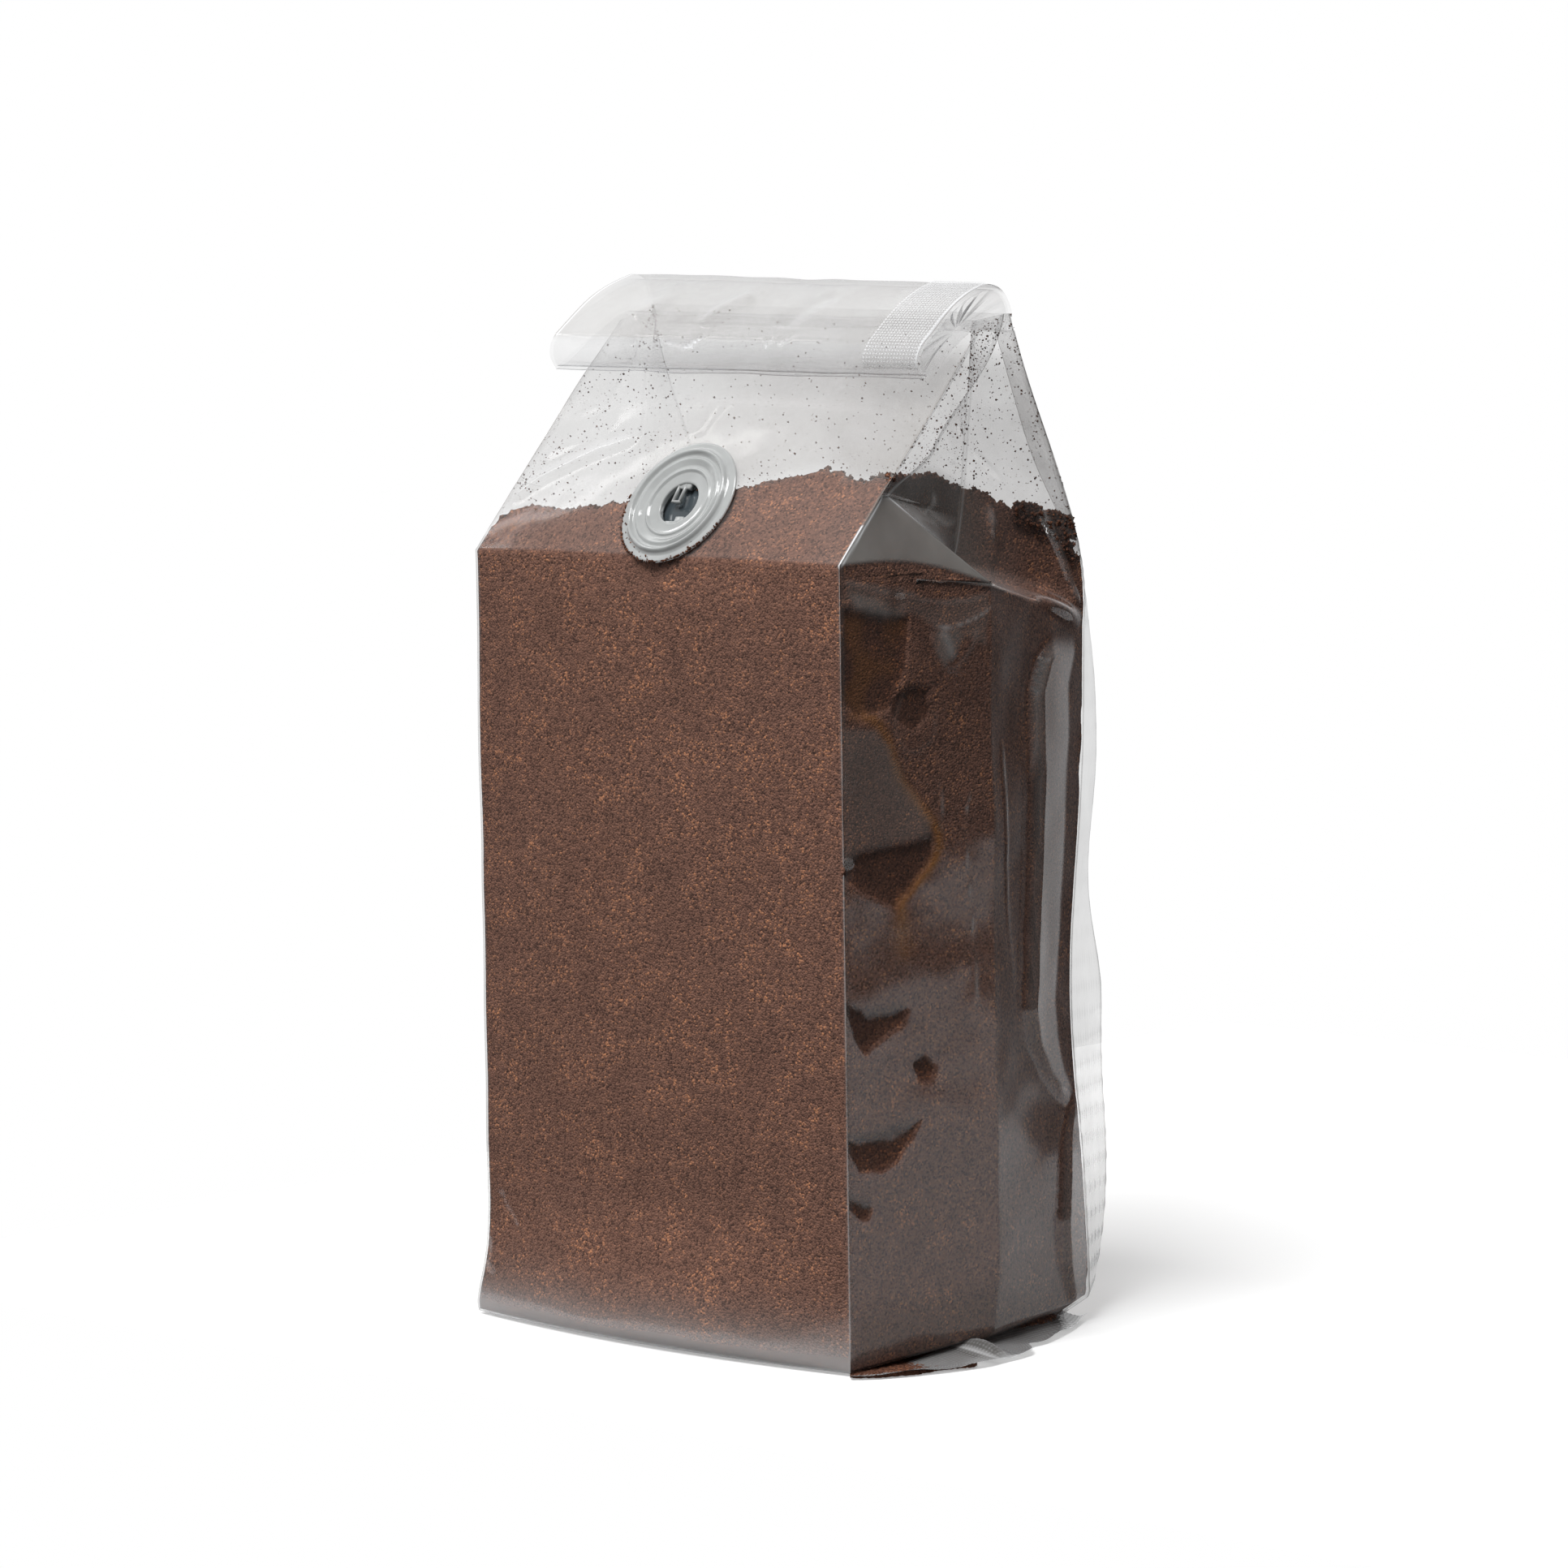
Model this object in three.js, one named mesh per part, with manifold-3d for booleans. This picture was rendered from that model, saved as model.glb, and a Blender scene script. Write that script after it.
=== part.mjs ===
// Coffee bag: ground coffee in a clear film bag with side gussets, standing on its folded base.
// The top is rolled forward into a cuff, one fin seal runs down the back right edge, and a
// degassing valve sits on the slope above the front panel.

import * as THREE from 'three';
import { mergeVertices } from 'three/addons/utils/BufferGeometryUtils.js';
import Module from 'manifold-3d';

const wasm = await Module();
wasm.setup();

// Driving dimensions in millimetres: X across the front, Y from the front panel back, Z up
const width = 85; // front panel, edge to edge
const depth = 60; // side gusset, front edge to back edge
const frontHeight = 132; // front panel up to its shoulder
const creaseHeight = 127.6; // the gusset's centre crease up to the shoulder
const backHeight = 119.4; // back panel up to its shoulder
const creaseBulge = 6; // how far the filled gusset's centre crease stands out
const slopeRun = 35; // front slope, shoulder to neck, measured back
const neckHeight = 169.5; // front slope's upper end
const ridgeBack = 37.6; // ridge of the rolled top, behind the front panel
const ridgeHeight = 177.2;
const ridgeTilt = 1; // the ridge's left end stands this much higher and further back than its middle
const sheet = 0.9; // thickness given to loose film: cuff, fin and base flap
const gap = 0.3; // clearance between neighbouring pieces

// The filled body's swell, all measured out from the straight sides
const frontSwell = { base: 4.6, middle: 1.8, shoulder: 1.3 };
const backSwell = { base: 2.8, middle: 2.6, shoulder: 2.0 };
const baseRound = 3; // height over which the walls turn under
const baseInset = 1.8; // how far the flat contact face lies inside the walls
const cornerFlare = 2; // how far the front left corner's foot splays out
const sideLift = 2.2; // the right side's lower edge, off the floor at its back end
const slopeSwell = 1.7; // the front slope's crown, halfway up
const shoulderSoft = 0.9; // how much the front shoulder is rounded off between its corners
const shoulderReach = 5; // distance from the shoulder over which it is rounded
const facetTop = 0.29; // share of the front slope that the gusset's corner facet reaches
const stripWidth = 8; // gusset film between the slope's side edge and its first fold
const tuckDepth = 5; // how far the gusset goes in above the shoulder

// Rolled top: where its section leaves the back slope, bends down, ends in a lip and comes back
const cuffFoot = { back: 43.2, height: 168.8 };
const cuffBend = { back: 20.6, height: 167.8 };
const cuffLip = { back: 20.4, height: 161.6 };
const cuffRoot = { back: 35, height: 170.6 };
const stripRaise = 0.4; // how far the pressed fin seal stands above the cuff

// Fin seal and the base seal's flap
const finWidth = 11;
const finEndSlope = 0.95; // share of the back slope where the fin goes under the cuff
const flapReach = 12; // flap's furthest point beyond the front panel's right edge

// Valve: a flanged body with a ring, a dish and a cup behind it, and a rubber disc in the cup
const valveAcross = 1.2; // valve centre, right of the middle
const valveUpSlope = 10.2; // valve centre, up the slope from the shoulder
const valveTilt = 35; // degrees that the valve leans back
const flangeRadius = 11.7;
const flangeThick = 0.55;
const ringRadius = 9.2;
const ringHeight = 1.45;
const dishRadius = 6.6;
const apertureRadius = 4.3;
const cupRadius = 7.2;
const cupWall = 1.2;
const cupDepth = 4.1;
const discThick = 1.3;

const half = width / 2;
const gussetHalf = Math.hypot(depth / 2, creaseBulge); // flat width of half a gusset
const baseShare = baseRound / frontHeight;
const slopeLength = Math.hypot(slopeRun, neckHeight - frontHeight);
const { clamp, lerp, smoothstep } = THREE.MathUtils;
const bump = (x, middle, spread) => Math.exp(-(((x - middle) / spread) ** 2));
const vec = (x, y, z) => new THREE.Vector3(x, y, z);
const mirrored = (p) => vec(-p.x, p.y, p.z);

// Swell of a panel at a share of its height, from base through middle to shoulder
function swellAt(swell, share) {
  const low = lerp(swell.middle, swell.base, 1 - smoothstep(share, 0.02, 0.2));
  return lerp(low, swell.shoulder, smoothstep(share, 0.55, 1));
}

// The front slope's swell at a share of its length, without the shoulder's rounding
function crownAt(share) {
  return frontSwell.shoulder * (1 - share) ** 2 + slopeSwell * Math.sin(Math.PI * share);
}

// The walls turn under to the contact face: inset of the wall at a share of the height
function insetAt(share) {
  const below = clamp(1 - share / baseShare, 0, 1);
  return baseInset * (1 - Math.sqrt(1 - below * below));
}

// Height that the right side's lower edge is lifted by, fading out above the base
function liftAt(y, share) {
  const fade = clamp(1 - share / 0.12, 0, 1);
  return share > 0 ? sideLift * clamp(y / depth, 0, 1) ** 0.6 * fade : 0;
}

// Corners of one loop of skin below the shoulder, right side, at a share of each edge's height
function bodyCorners(share) {
  const inset = insetAt(share);
  const cornerInset = share > 0 ? 0.35 * inset : 1.6 * inset;
  const bulge = creaseBulge - 1.2 * (1 - smoothstep(share, 0, 0.1)) - inset;
  const pinch = 4.2 * bump(share, 0.48, 0.24);
  const backY = depth - pinch - cornerInset;
  return {
    front: vec(half - cornerInset, cornerInset, share * frontHeight),
    crease: vec(half + bulge, depth / 2, share * creaseHeight + liftAt(depth / 2, share)),
    back: vec(half - cornerInset, backY, share * backHeight + liftAt(depth, share)),
  };
}

// Edges above the shoulder, right side, at a share of the way from shoulder to neck
const backEdge = new THREE.CubicBezierCurve3(
  vec(half, depth, backHeight),
  vec(half, 62, 136),
  vec(half, 48, 152),
  vec(half, 42.8, 172.1),
);
const slopeEdge = (share) => vec(half, slopeRun * share, lerp(frontHeight, neckHeight, share));

// The gusset's centre crease: the two halves keep their width, so it goes in as the edges close up,
// until the gusset is tucked in fully and the film left over is pleated behind it
function creaseAbove(share) {
  const front = slopeEdge(share);
  const back = backEdge.getPoint(share);
  const halfGap = front.distanceTo(back) / 2;
  const inward = Math.min(tuckDepth, Math.sqrt(Math.max(0, gussetHalf ** 2 - halfGap ** 2)));
  const middle = front.clone().lerp(back, 0.5);
  middle.x -= inward;
  const start = vec(half + creaseBulge, depth / 2, creaseHeight);
  return start.lerp(middle, smoothstep(share, 0, 0.12));
}

// First fold of the gusset's front half: up the corner facet, then along the slope's side edge
function foldAbove(share) {
  const front = slopeEdge(share);
  const crease = creaseAbove(share);
  const facetTip = slopeEdge(facetTop);
  const tipFold = facetTip.clone().add(vec(-0.8, 1.2, 0.2));
  if (share <= facetTop) {
    return vec(half + creaseBulge, depth / 2, creaseHeight).lerp(tipFold, share / facetTop);
  }
  const widening = lerp(1.4, stripWidth, smoothstep(share, facetTop, 0.5));
  const reach = Math.min(widening, 0.55 * crease.distanceTo(front));
  return front.addScaledVector(crease.sub(front).normalize(), reach);
}

// Points from one corner to the next, bowed out in the middle
function side(from, to, steps, bow) {
  const points = [];
  for (let i = 0; i < steps; i += 1) {
    const s = i / steps;
    points.push(from.clone().lerp(to, s).addScaledVector(bow, 4 * s * (1 - s)));
  }
  return points;
}

// One whole loop of skin, anticlockwise from the front left edge
function loop(front, fold, crease, back, frontBow, backBow, dent) {
  const none = vec(0, 0, 0);
  const left = [front, fold, crease, back].map(mirrored);
  const splay = cornerFlare * bump(front.z, 0, 9);
  left[0].add(vec(-splay, -0.7 * splay, 0));
  return [
    ...side(left[0], front, 14, frontBow),
    ...side(front, fold, 4, none),
    ...side(fold, crease, 5, none),
    ...side(crease, back, 8, vec(-dent, 0, 0)),
    ...side(back, left[3], 14, backBow),
    ...side(left[3], left[2], 8, vec(0.6 * dent, 0, 0)),
    ...side(left[2], left[1], 5, none),
    ...side(left[1], left[0], 4, none),
  ];
}

function bodyLoop(share) {
  const { front, crease, back } = bodyCorners(share);
  const fold = front.clone().lerp(crease, 0.5);
  const rounded = shoulderSoft * bump((1 - share) * frontHeight, 0, shoulderReach);
  const frontBow = vec(0, rounded + insetAt(share) - swellAt(frontSwell, share), 0);
  const backBow = vec(0, swellAt(backSwell, share) - insetAt(share), 0);
  return loop(front, fold, crease, back, frontBow, backBow, 2.2 * bump(share, 0.45, 0.28));
}

function topLoop(share) {
  const front = slopeEdge(share);
  const back = backEdge.getPoint(share);
  const slopeOut = vec(0, -(neckHeight - frontHeight), slopeRun).divideScalar(slopeLength);
  const rounded = shoulderSoft * bump(share * slopeLength, 0, shoulderReach);
  const frontBow = slopeOut.multiplyScalar(crownAt(share) - rounded);
  const backBow = vec(0, 1, 0.3).multiplyScalar(backSwell.shoulder * (1 - share));
  return loop(front, foldAbove(share), creaseAbove(share), back, frontBow, backBow, 0);
}

// A closed geometry from loops with the same number of points, flat or nearly flat at both ends
function skin(loops) {
  const count = loops[0].length;
  const centre = (points) => points.reduce((sum, p) => sum.add(p), vec(0, 0, 0)).divideScalar(count);
  const vertices = [...loops.flat(), centre(loops[0]), centre(loops.at(-1))];
  const bottom = vertices.length - 2;
  const top = vertices.length - 1;
  const last = (loops.length - 1) * count;
  const index = [];
  for (let i = 0; i < count; i += 1) {
    const j = (i + 1) % count;
    for (let row = 0; row < last; row += count) {
      index.push(row + i, row + j, row + count + j);
      index.push(row + i, row + count + j, row + count + i);
    }
    index.push(bottom, j, i, top, last + i, last + j);
  }
  const geometry = new THREE.BufferGeometry();
  const coordinates = vertices.flatMap((p) => p.toArray());
  geometry.setAttribute('position', new THREE.Float32BufferAttribute(coordinates, 3));
  geometry.setIndex(index);
  return geometry;
}

// three.js geometry to a solid and back
function solid(geometry) {
  const clean = geometry.clone();
  clean.deleteAttribute('normal');
  clean.deleteAttribute('uv');
  const merged = mergeVertices(clean, 1e-4);
  const vertProperties = new Float32Array(merged.attributes.position.array);
  const triVerts = new Uint32Array(merged.index.array);
  return new wasm.Manifold(new wasm.Mesh({ numProp: 3, vertProperties, triVerts }));
}

function geometryOf(body) {
  const mesh = body.getMesh();
  const geometry = new THREE.BufferGeometry();
  geometry.setAttribute('position', new THREE.BufferAttribute(new Float32Array(mesh.vertProperties), 3));
  geometry.setIndex(new THREE.BufferAttribute(new Uint32Array(mesh.triVerts), 1));
  return geometry;
}

// The filled body and the sloping top, up to just under the ridge
function filledBody() {
  const shares = [0, 0.004, 0.012, baseShare, 0.05, 0.09, 0.15, 0.22, 0.3, 0.38, 0.46, 0.54, 0.62, 0.7];
  shares.push(0.78, 0.86, 0.93);
  const slopeShares = [0, 0.06, 0.12, 0.18, facetTop, 0.32, 0.42, 0.52, 0.64, 0.76, 0.88, 1];
  return solid(skin([...shares.map(bodyLoop), ...slopeShares.map(topLoop)]));
}

// The rolled top: section of the film going over the ridge, down the front and back under itself
function cuffOutline() {
  const path = new THREE.Path();
  path.moveTo(cuffFoot.back, cuffFoot.height);
  path.lineTo(cuffFoot.back, cuffFoot.height + 3.6);
  path.quadraticCurveTo(ridgeBack + 4.6, ridgeHeight, ridgeBack, ridgeHeight);
  path.quadraticCurveTo(ridgeBack - 7.1, ridgeHeight - 1.7, cuffBend.back + 3.8, cuffBend.height + 3);
  path.lineTo(cuffBend.back, cuffBend.height);
  path.quadraticCurveTo(cuffLip.back - 2.2, cuffBend.height - 2.6, cuffLip.back - 1.1, cuffLip.height + 1.6);
  path.lineTo(cuffLip.back, cuffLip.height);
  path.lineTo(cuffLip.back + 3.1, cuffLip.height + 1.3);
  path.lineTo(cuffRoot.back, cuffRoot.height);
  return path.getPoints(5);
}

// The same outline moved in by a distance, its corners mitred
function movedIn(points, distance) {
  const count = points.length;
  return points.map((p, i) => {
    const before = points[(i + count - 1) % count];
    const after = points[(i + 1) % count];
    const a = p.clone().sub(before).normalize();
    const b = after.clone().sub(p).normalize();
    const inward = new THREE.Vector2(-a.y - b.y, a.x + b.x).normalize();
    const turn = Math.max(0.35, inward.dot(new THREE.Vector2(-a.y, a.x)));
    return p.clone().addScaledVector(inward, distance / turn);
  });
}

// A section drawn in depth and height, run across the bag from one X to another
function across(shape, fromX, toX) {
  const geometry = new THREE.ExtrudeGeometry(shape, { depth: toX - fromX, bevelEnabled: false });
  geometry.applyMatrix4(new THREE.Matrix4().makeBasis(vec(0, 1, 0), vec(0, 0, 1), vec(1, 0, 0)));
  geometry.translate(fromX, 0, 0);
  return solid(geometry);
}

function cuff() {
  const outer = cuffOutline();
  const shape = new THREE.Shape(outer);
  shape.holes.push(new THREE.Path(movedIn(outer, sheet)));
  return across(shape, -half, half);
}

// The fin seal where it is pressed onto the cuff's right end: a slightly thicker strip
function cuffStrip() {
  const outline = cuffOutline();
  const first = outline.findIndex((p) => p.x <= ridgeBack);
  const last = outline.findIndex((p) => p.y <= cuffLip.height + 2);
  const face = movedIn(outline, -stripRaise).slice(first, last);
  const under = movedIn(outline, sheet / 2).slice(first, last);
  return across(new THREE.Shape([...face, ...under.reverse()]), half - finWidth - 1, half);
}

// Direction of the fin, in degrees from the bag's right towards its back: it waves on its way up
function finAngle(height) {
  const folded = lerp(120, 150, smoothstep(height, 106, 150));
  const wave = bump(height, 54, height < 54 ? 33 : 14);
  return folded - 16 * wave + 10 * bump(height, 0, 9);
}

// The fin seal, standing off the back right edge from the base to the cuff
function fin() {
  const edge = [];
  for (let i = 0; i <= 16; i += 1) {
    edge.push(bodyCorners(lerp(0.004, 0.98, (i / 16) ** 1.2)).back);
  }
  for (let i = 0; i <= 8; i += 1) {
    edge.push(backEdge.getPoint((finEndSlope * i) / 8));
  }
  const loops = edge.map((p) => {
    const angle = THREE.MathUtils.degToRad(finAngle(p.z));
    const out = vec(Math.cos(angle), Math.sin(angle), 0);
    const thick = vec(-out.y, out.x, 0).multiplyScalar(sheet / 2);
    const root = p.clone().addScaledVector(out, -1.4).add(vec(-0.6, 0, 0));
    const free = p.clone().addScaledVector(out, finWidth);
    return [
      root.clone().sub(thick), free.clone().sub(thick),
      free.clone().add(thick), root.clone().add(thick),
    ];
  });
  return solid(skin(loops));
}

// The base seal's flap, lying on the floor under the right side
function baseFlap() {
  const shape = new THREE.Shape();
  shape.moveTo(half - 6, 3);
  shape.lineTo(half + 2.4, -1.4);
  shape.quadraticCurveTo(half + 8, 7, half + flapReach - 1, 17);
  shape.quadraticCurveTo(half + flapReach, 20, half + flapReach - 0.2, 24);
  shape.lineTo(half + flapReach - 1, 32);
  shape.lineTo(half + 6.6, 36);
  shape.lineTo(half + 6.2, 42);
  shape.quadraticCurveTo(half + 3, 54, half - 2, 61);
  shape.lineTo(half - 6, 57);
  const geometry = new THREE.ExtrudeGeometry(shape, { depth: sheet, bevelEnabled: false, curveSegments: 5 });
  geometry.translate(0, 0, 0.12);
  return solid(geometry);
}

// The ridge runs slightly downhill to the right: the top is skewed by height
function skewTop(geometry) {
  const position = geometry.attributes.position;
  for (let i = 0; i < position.count; i += 1) {
    const x = position.getX(i);
    const z = position.getZ(i);
    const y = position.getY(i);
    const rise = clamp((z - frontHeight) / (ridgeHeight - frontHeight), 0, 1.05) ** 2;
    const shift = (-ridgeTilt * rise * x) / half;
    const backward = lerp(-1, 1, smoothstep(y, slopeRun / 2, slopeRun));
    position.setXYZ(i, x, y + shift * backward, z + shift);
  }
  return geometry;
}

// Valve profiles, radius against height above the film
function valveBodyGeometry() {
  const cupFloor = -cupDepth + cupWall;
  const profile = [
    [apertureRadius, 0.1],
    [apertureRadius, -0.8],
    [cupRadius - cupWall, -0.8],
    [cupRadius - cupWall, cupFloor],
    [1.2, cupFloor],
    [1.2, -cupDepth],
    [cupRadius, -cupDepth],
    [cupRadius, 0],
    [flangeRadius, 0],
    [flangeRadius, 0.35],
    [flangeRadius - 0.3, flangeThick],
    [ringRadius + 1.2, flangeThick],
    [ringRadius + 0.7, 0.8],
    [ringRadius + 0.25, ringHeight],
    [ringRadius - 0.25, ringHeight],
    [ringRadius - 0.9, 0.75],
    [dishRadius + 0.8, 0.7],
    [dishRadius + 0.2, 0.9],
    [dishRadius, 0.35],
    [apertureRadius, 0.1],
  ];
  const points = profile.map(([radius, height]) => new THREE.Vector2(radius, height));
  return new THREE.LatheGeometry(points, 48);
}

function discGeometry() {
  const radius = cupRadius - cupWall - gap;
  const bottom = -cupDepth + cupWall + gap;
  const profile = [
    [0, bottom],
    [radius, bottom],
    [radius, bottom + discThick - 0.3],
    [radius - 0.3, bottom + discThick],
    [0, bottom + discThick - 0.25],
  ];
  return new THREE.LatheGeometry(profile.map(([r, h]) => new THREE.Vector2(r, h)), 40);
}

// The pocket that the valve is welded into, with clearance all round
function pocketGeometry() {
  const profile = [
    [0, -cupDepth - gap],
    [cupRadius + gap, -cupDepth - gap],
    [cupRadius + gap, -gap],
    [flangeRadius + gap, -gap],
    [flangeRadius + gap, 4],
    [0, 4],
  ];
  return new THREE.LatheGeometry(profile.map(([r, h]) => new THREE.Vector2(r, h)), 48);
}

// The film is held flat behind the flange
function landGeometry() {
  const profile = [
    [0, -3],
    [flangeRadius - 0.5, -3],
    [flangeRadius + 0.8, -gap],
    [0, -gap],
  ];
  return new THREE.LatheGeometry(profile.map(([r, h]) => new THREE.Vector2(r, h)), 48);
}

// Where the valve stands: its axis along the outward normal of the front slope
function placeOnSlope(geometry) {
  const slopeAngle = Math.atan2(slopeRun, neckHeight - frontHeight);
  const crown = crownAt(valveUpSlope / slopeLength);
  const y = valveUpSlope * Math.sin(slopeAngle) - crown * Math.cos(slopeAngle);
  const z = frontHeight + valveUpSlope * Math.cos(slopeAngle) + crown * Math.sin(slopeAngle);
  geometry.rotateX(THREE.MathUtils.degToRad(180 - valveTilt));
  geometry.translate(valveAcross, y, z);
  return geometry;
}

const pocket = solid(placeOnSlope(pocketGeometry()));
const land = solid(placeOnSlope(landGeometry()));
const loose = [cuff(), cuffStrip(), fin(), baseFlap(), land];
const bagSolid = loose.reduce((sum, film) => sum.add(film), filledBody()).subtract(pocket);

function piece(name, geometry, colour, roughness) {
  const material = new THREE.MeshStandardMaterial({ color: colour, roughness, metalness: 0 });
  const mesh = new THREE.Mesh(geometry, material);
  mesh.name = name;
  return mesh;
}

const bag = piece('bag', skewTop(geometryOf(bagSolid)), 0x6f5248, 0.45);
const valveBody = piece('valve_body', placeOnSlope(valveBodyGeometry()), 0xabada9, 0.35);
const valveDisc = piece('valve_disc', placeOnSlope(discGeometry()), 0x4b5358, 0.5);

const group = new THREE.Group();
group.add(bag, valveBody, valveDisc);

// Origin in the middle of the base
const box = new THREE.Box3().setFromObject(group);
const centre = box.getCenter(new THREE.Vector3());
group.position.set(-centre.x, -centre.y, -box.min.z);

export default group;
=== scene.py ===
# Coffee bag: ground coffee in a clear film bag with side gussets, standing on its folded base.
# Shapes are worked out in millimetres from the middle of the front panel's foot: X to the right,
# Y towards the back, Z up. They turn into the frame's metres as each mesh is made.

import math
import random

import bpy
import numpy as np
from mathutils import Matrix, Vector, noise


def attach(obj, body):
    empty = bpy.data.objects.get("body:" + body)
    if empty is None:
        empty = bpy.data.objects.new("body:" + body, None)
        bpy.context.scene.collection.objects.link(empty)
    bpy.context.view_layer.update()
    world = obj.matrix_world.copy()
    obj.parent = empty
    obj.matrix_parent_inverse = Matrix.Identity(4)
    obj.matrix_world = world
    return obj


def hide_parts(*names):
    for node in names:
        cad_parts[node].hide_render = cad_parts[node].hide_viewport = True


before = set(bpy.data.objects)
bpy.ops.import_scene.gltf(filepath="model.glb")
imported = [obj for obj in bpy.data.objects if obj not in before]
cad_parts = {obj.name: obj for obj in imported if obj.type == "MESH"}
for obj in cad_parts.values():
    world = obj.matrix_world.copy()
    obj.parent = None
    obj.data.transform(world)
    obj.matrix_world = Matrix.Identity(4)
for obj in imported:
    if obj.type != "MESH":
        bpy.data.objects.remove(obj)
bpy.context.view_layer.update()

# The view: a long lens looks at the bag's front right corner from almost a metre away, a little
# above the middle of its height.
foot_middle = np.array([-2.916, -32.164, 0.0])  # the front panel's foot in the frame
image_width = 1932
focal_length = 7011  # in pixels of the image
sensor_width = 36.0
view_turn = math.radians(43.7)
view_drop = math.radians(5.75)
view_roll = math.radians(-0.86)
view_distance = 954.1
aim_right = 19.94
aim_height = 93.84


def metres(points):
    """Body millimetres to the frame's metres."""
    return (np.asarray(points, float) + foot_middle) * 0.001


level = math.cos(view_drop)
towards = Vector((math.sin(view_turn) * level, -math.cos(view_turn) * level, math.sin(view_drop)))
across = Vector((math.cos(view_turn), math.sin(view_turn), 0.0))
upward = towards.cross(across)
view_right = across * math.cos(view_roll) + upward * math.sin(view_roll)
view_up = upward * math.cos(view_roll) - across * math.sin(view_roll)
eye = view_right * aim_right + view_up * aim_height + towards * view_distance

lens = bpy.data.cameras.new("camera")
lens.sensor_width = sensor_width
lens.lens = focal_length / image_width * sensor_width
camera = bpy.data.objects.new("camera", lens)
facing_eye = Matrix((view_right, view_up, towards)).transposed().to_4x4()
camera.matrix_world = Matrix.Translation(metres(eye)) @ facing_eye
bpy.context.collection.objects.link(camera)
bpy.context.scene.camera = camera

# The film bag: one sheet of clear film, welded into a tube with a gusset folded into each side.
# The coffee holds it tight up to the shoulder. Above, the gussets fold in and the sheet slopes
# back to the neck. Its folds are creased in the sheet and its inside is dusty above the coffee.
width = 85.0
depth = 60.0
front_height = 132.0
crease_height = 127.6
back_height = 119.4
crease_bulge = 6.0
slope_run = 35.0
neck_height = 169.5
ridge_back = 37.6
ridge_height = 177.2
ridge_tilt = 1.0
front_swell = {"base": 4.6, "middle": 1.8, "shoulder": 1.3}
back_swell = {"base": 2.8, "middle": 2.6, "shoulder": 2.0}
base_round = 3.0
base_inset = 1.8
corner_flare = 2.0
side_lift = 3.8
side_lift_end = 0.12  # share of the height where the base's lift is used up
foot_tuck = 1.2
waist = 4.2  # how far the back's edges go in at mid height
slope_swell = 1.7
shoulder_soft = 0.9
shoulder_reach = 5.0
facet_top = 0.29
strip_width = 8.0
tuck_depth = 5.0
half = width / 2
gusset_half = math.hypot(depth / 2, crease_bulge)
base_share = base_round / front_height
slope_length = math.hypot(slope_run, neck_height - front_height)
loop_steps = (90, 34, 34, 60, 60, 26, 14, 12)  # points on each side of a loop, from the front left
body_rows = 190
slope_rows = 96
far_off = 99.0  # stands for any distance that has no effect


def lerp(a, b, share):
    return a + (b - a) * share


def smooth(x, low, high):
    share = np.clip((x - low) / (high - low), 0.0, 1.0)
    return share * share * (3.0 - 2.0 * share)


def bump(x, middle, spread):
    return np.exp(-(((x - middle) / spread) ** 2))


def vec(x, y, z):
    return np.array([x, y, z], float)


def swell_at(swell, share):
    low = lerp(swell["middle"], swell["base"], 1 - smooth(share, 0.02, 0.2))
    return lerp(low, swell["shoulder"], smooth(share, 0.55, 1.0))


def crown_at(share):
    return front_swell["shoulder"] * (1 - share) ** 2 + slope_swell * math.sin(math.pi * share)


def inset_at(share):
    below = min(max(1 - share / base_share, 0.0), 1.0)
    return base_inset * (1 - math.sqrt(1 - below * below))


def lift_at(y, share):
    """How far the folded base lifts the side's lower edge."""
    fade = min(max(1 - share / side_lift_end, 0.0), 1.0)
    return side_lift * min(y / depth, 1.0) ** 0.45 * fade if share > 0 else 0.0


def body_corners(share):
    """Front edge, gusset crease and back edge, right side, at a share of each edge's height."""
    inset = inset_at(share)
    corner_inset = (0.35 if share > 0 else 2.6) * inset
    bulge = crease_bulge - foot_tuck * (1 - smooth(share, 0.0, 0.1)) - corner_inset
    back_y = depth - waist * bump(share, 0.48, 0.24) - corner_inset
    front = vec(half - corner_inset, corner_inset, share * front_height)
    crease = vec(half + bulge, depth / 2, share * crease_height + lift_at(depth / 2, share))
    back = vec(half - corner_inset, back_y, share * back_height + lift_at(depth, share))
    return front, crease, back


def slope_edge(share):
    return vec(half, slope_run * share, lerp(front_height, neck_height, share))


def back_edge(share):
    ends = [vec(half, depth, back_height), vec(half, 62, 136), vec(half, 48, 152), vec(half, 42.8, 172.1)]
    weights = ((1 - share) ** 3, 3 * share * (1 - share) ** 2, 3 * share**2 * (1 - share), share**3)
    return sum(weight * end for weight, end in zip(weights, ends))


def crease_above(share):
    """The gusset's crease goes in as the edges close up, until the gusset is tucked in fully."""
    front = slope_edge(share)
    back = back_edge(share)
    half_gap = np.linalg.norm(front - back) / 2
    middle = (front + back) / 2
    middle[0] -= min(tuck_depth, math.sqrt(max(0.0, gusset_half**2 - half_gap**2)))
    start = vec(half + crease_bulge, depth / 2, crease_height)
    return lerp(start, middle, smooth(share, 0.0, 0.12))


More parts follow.
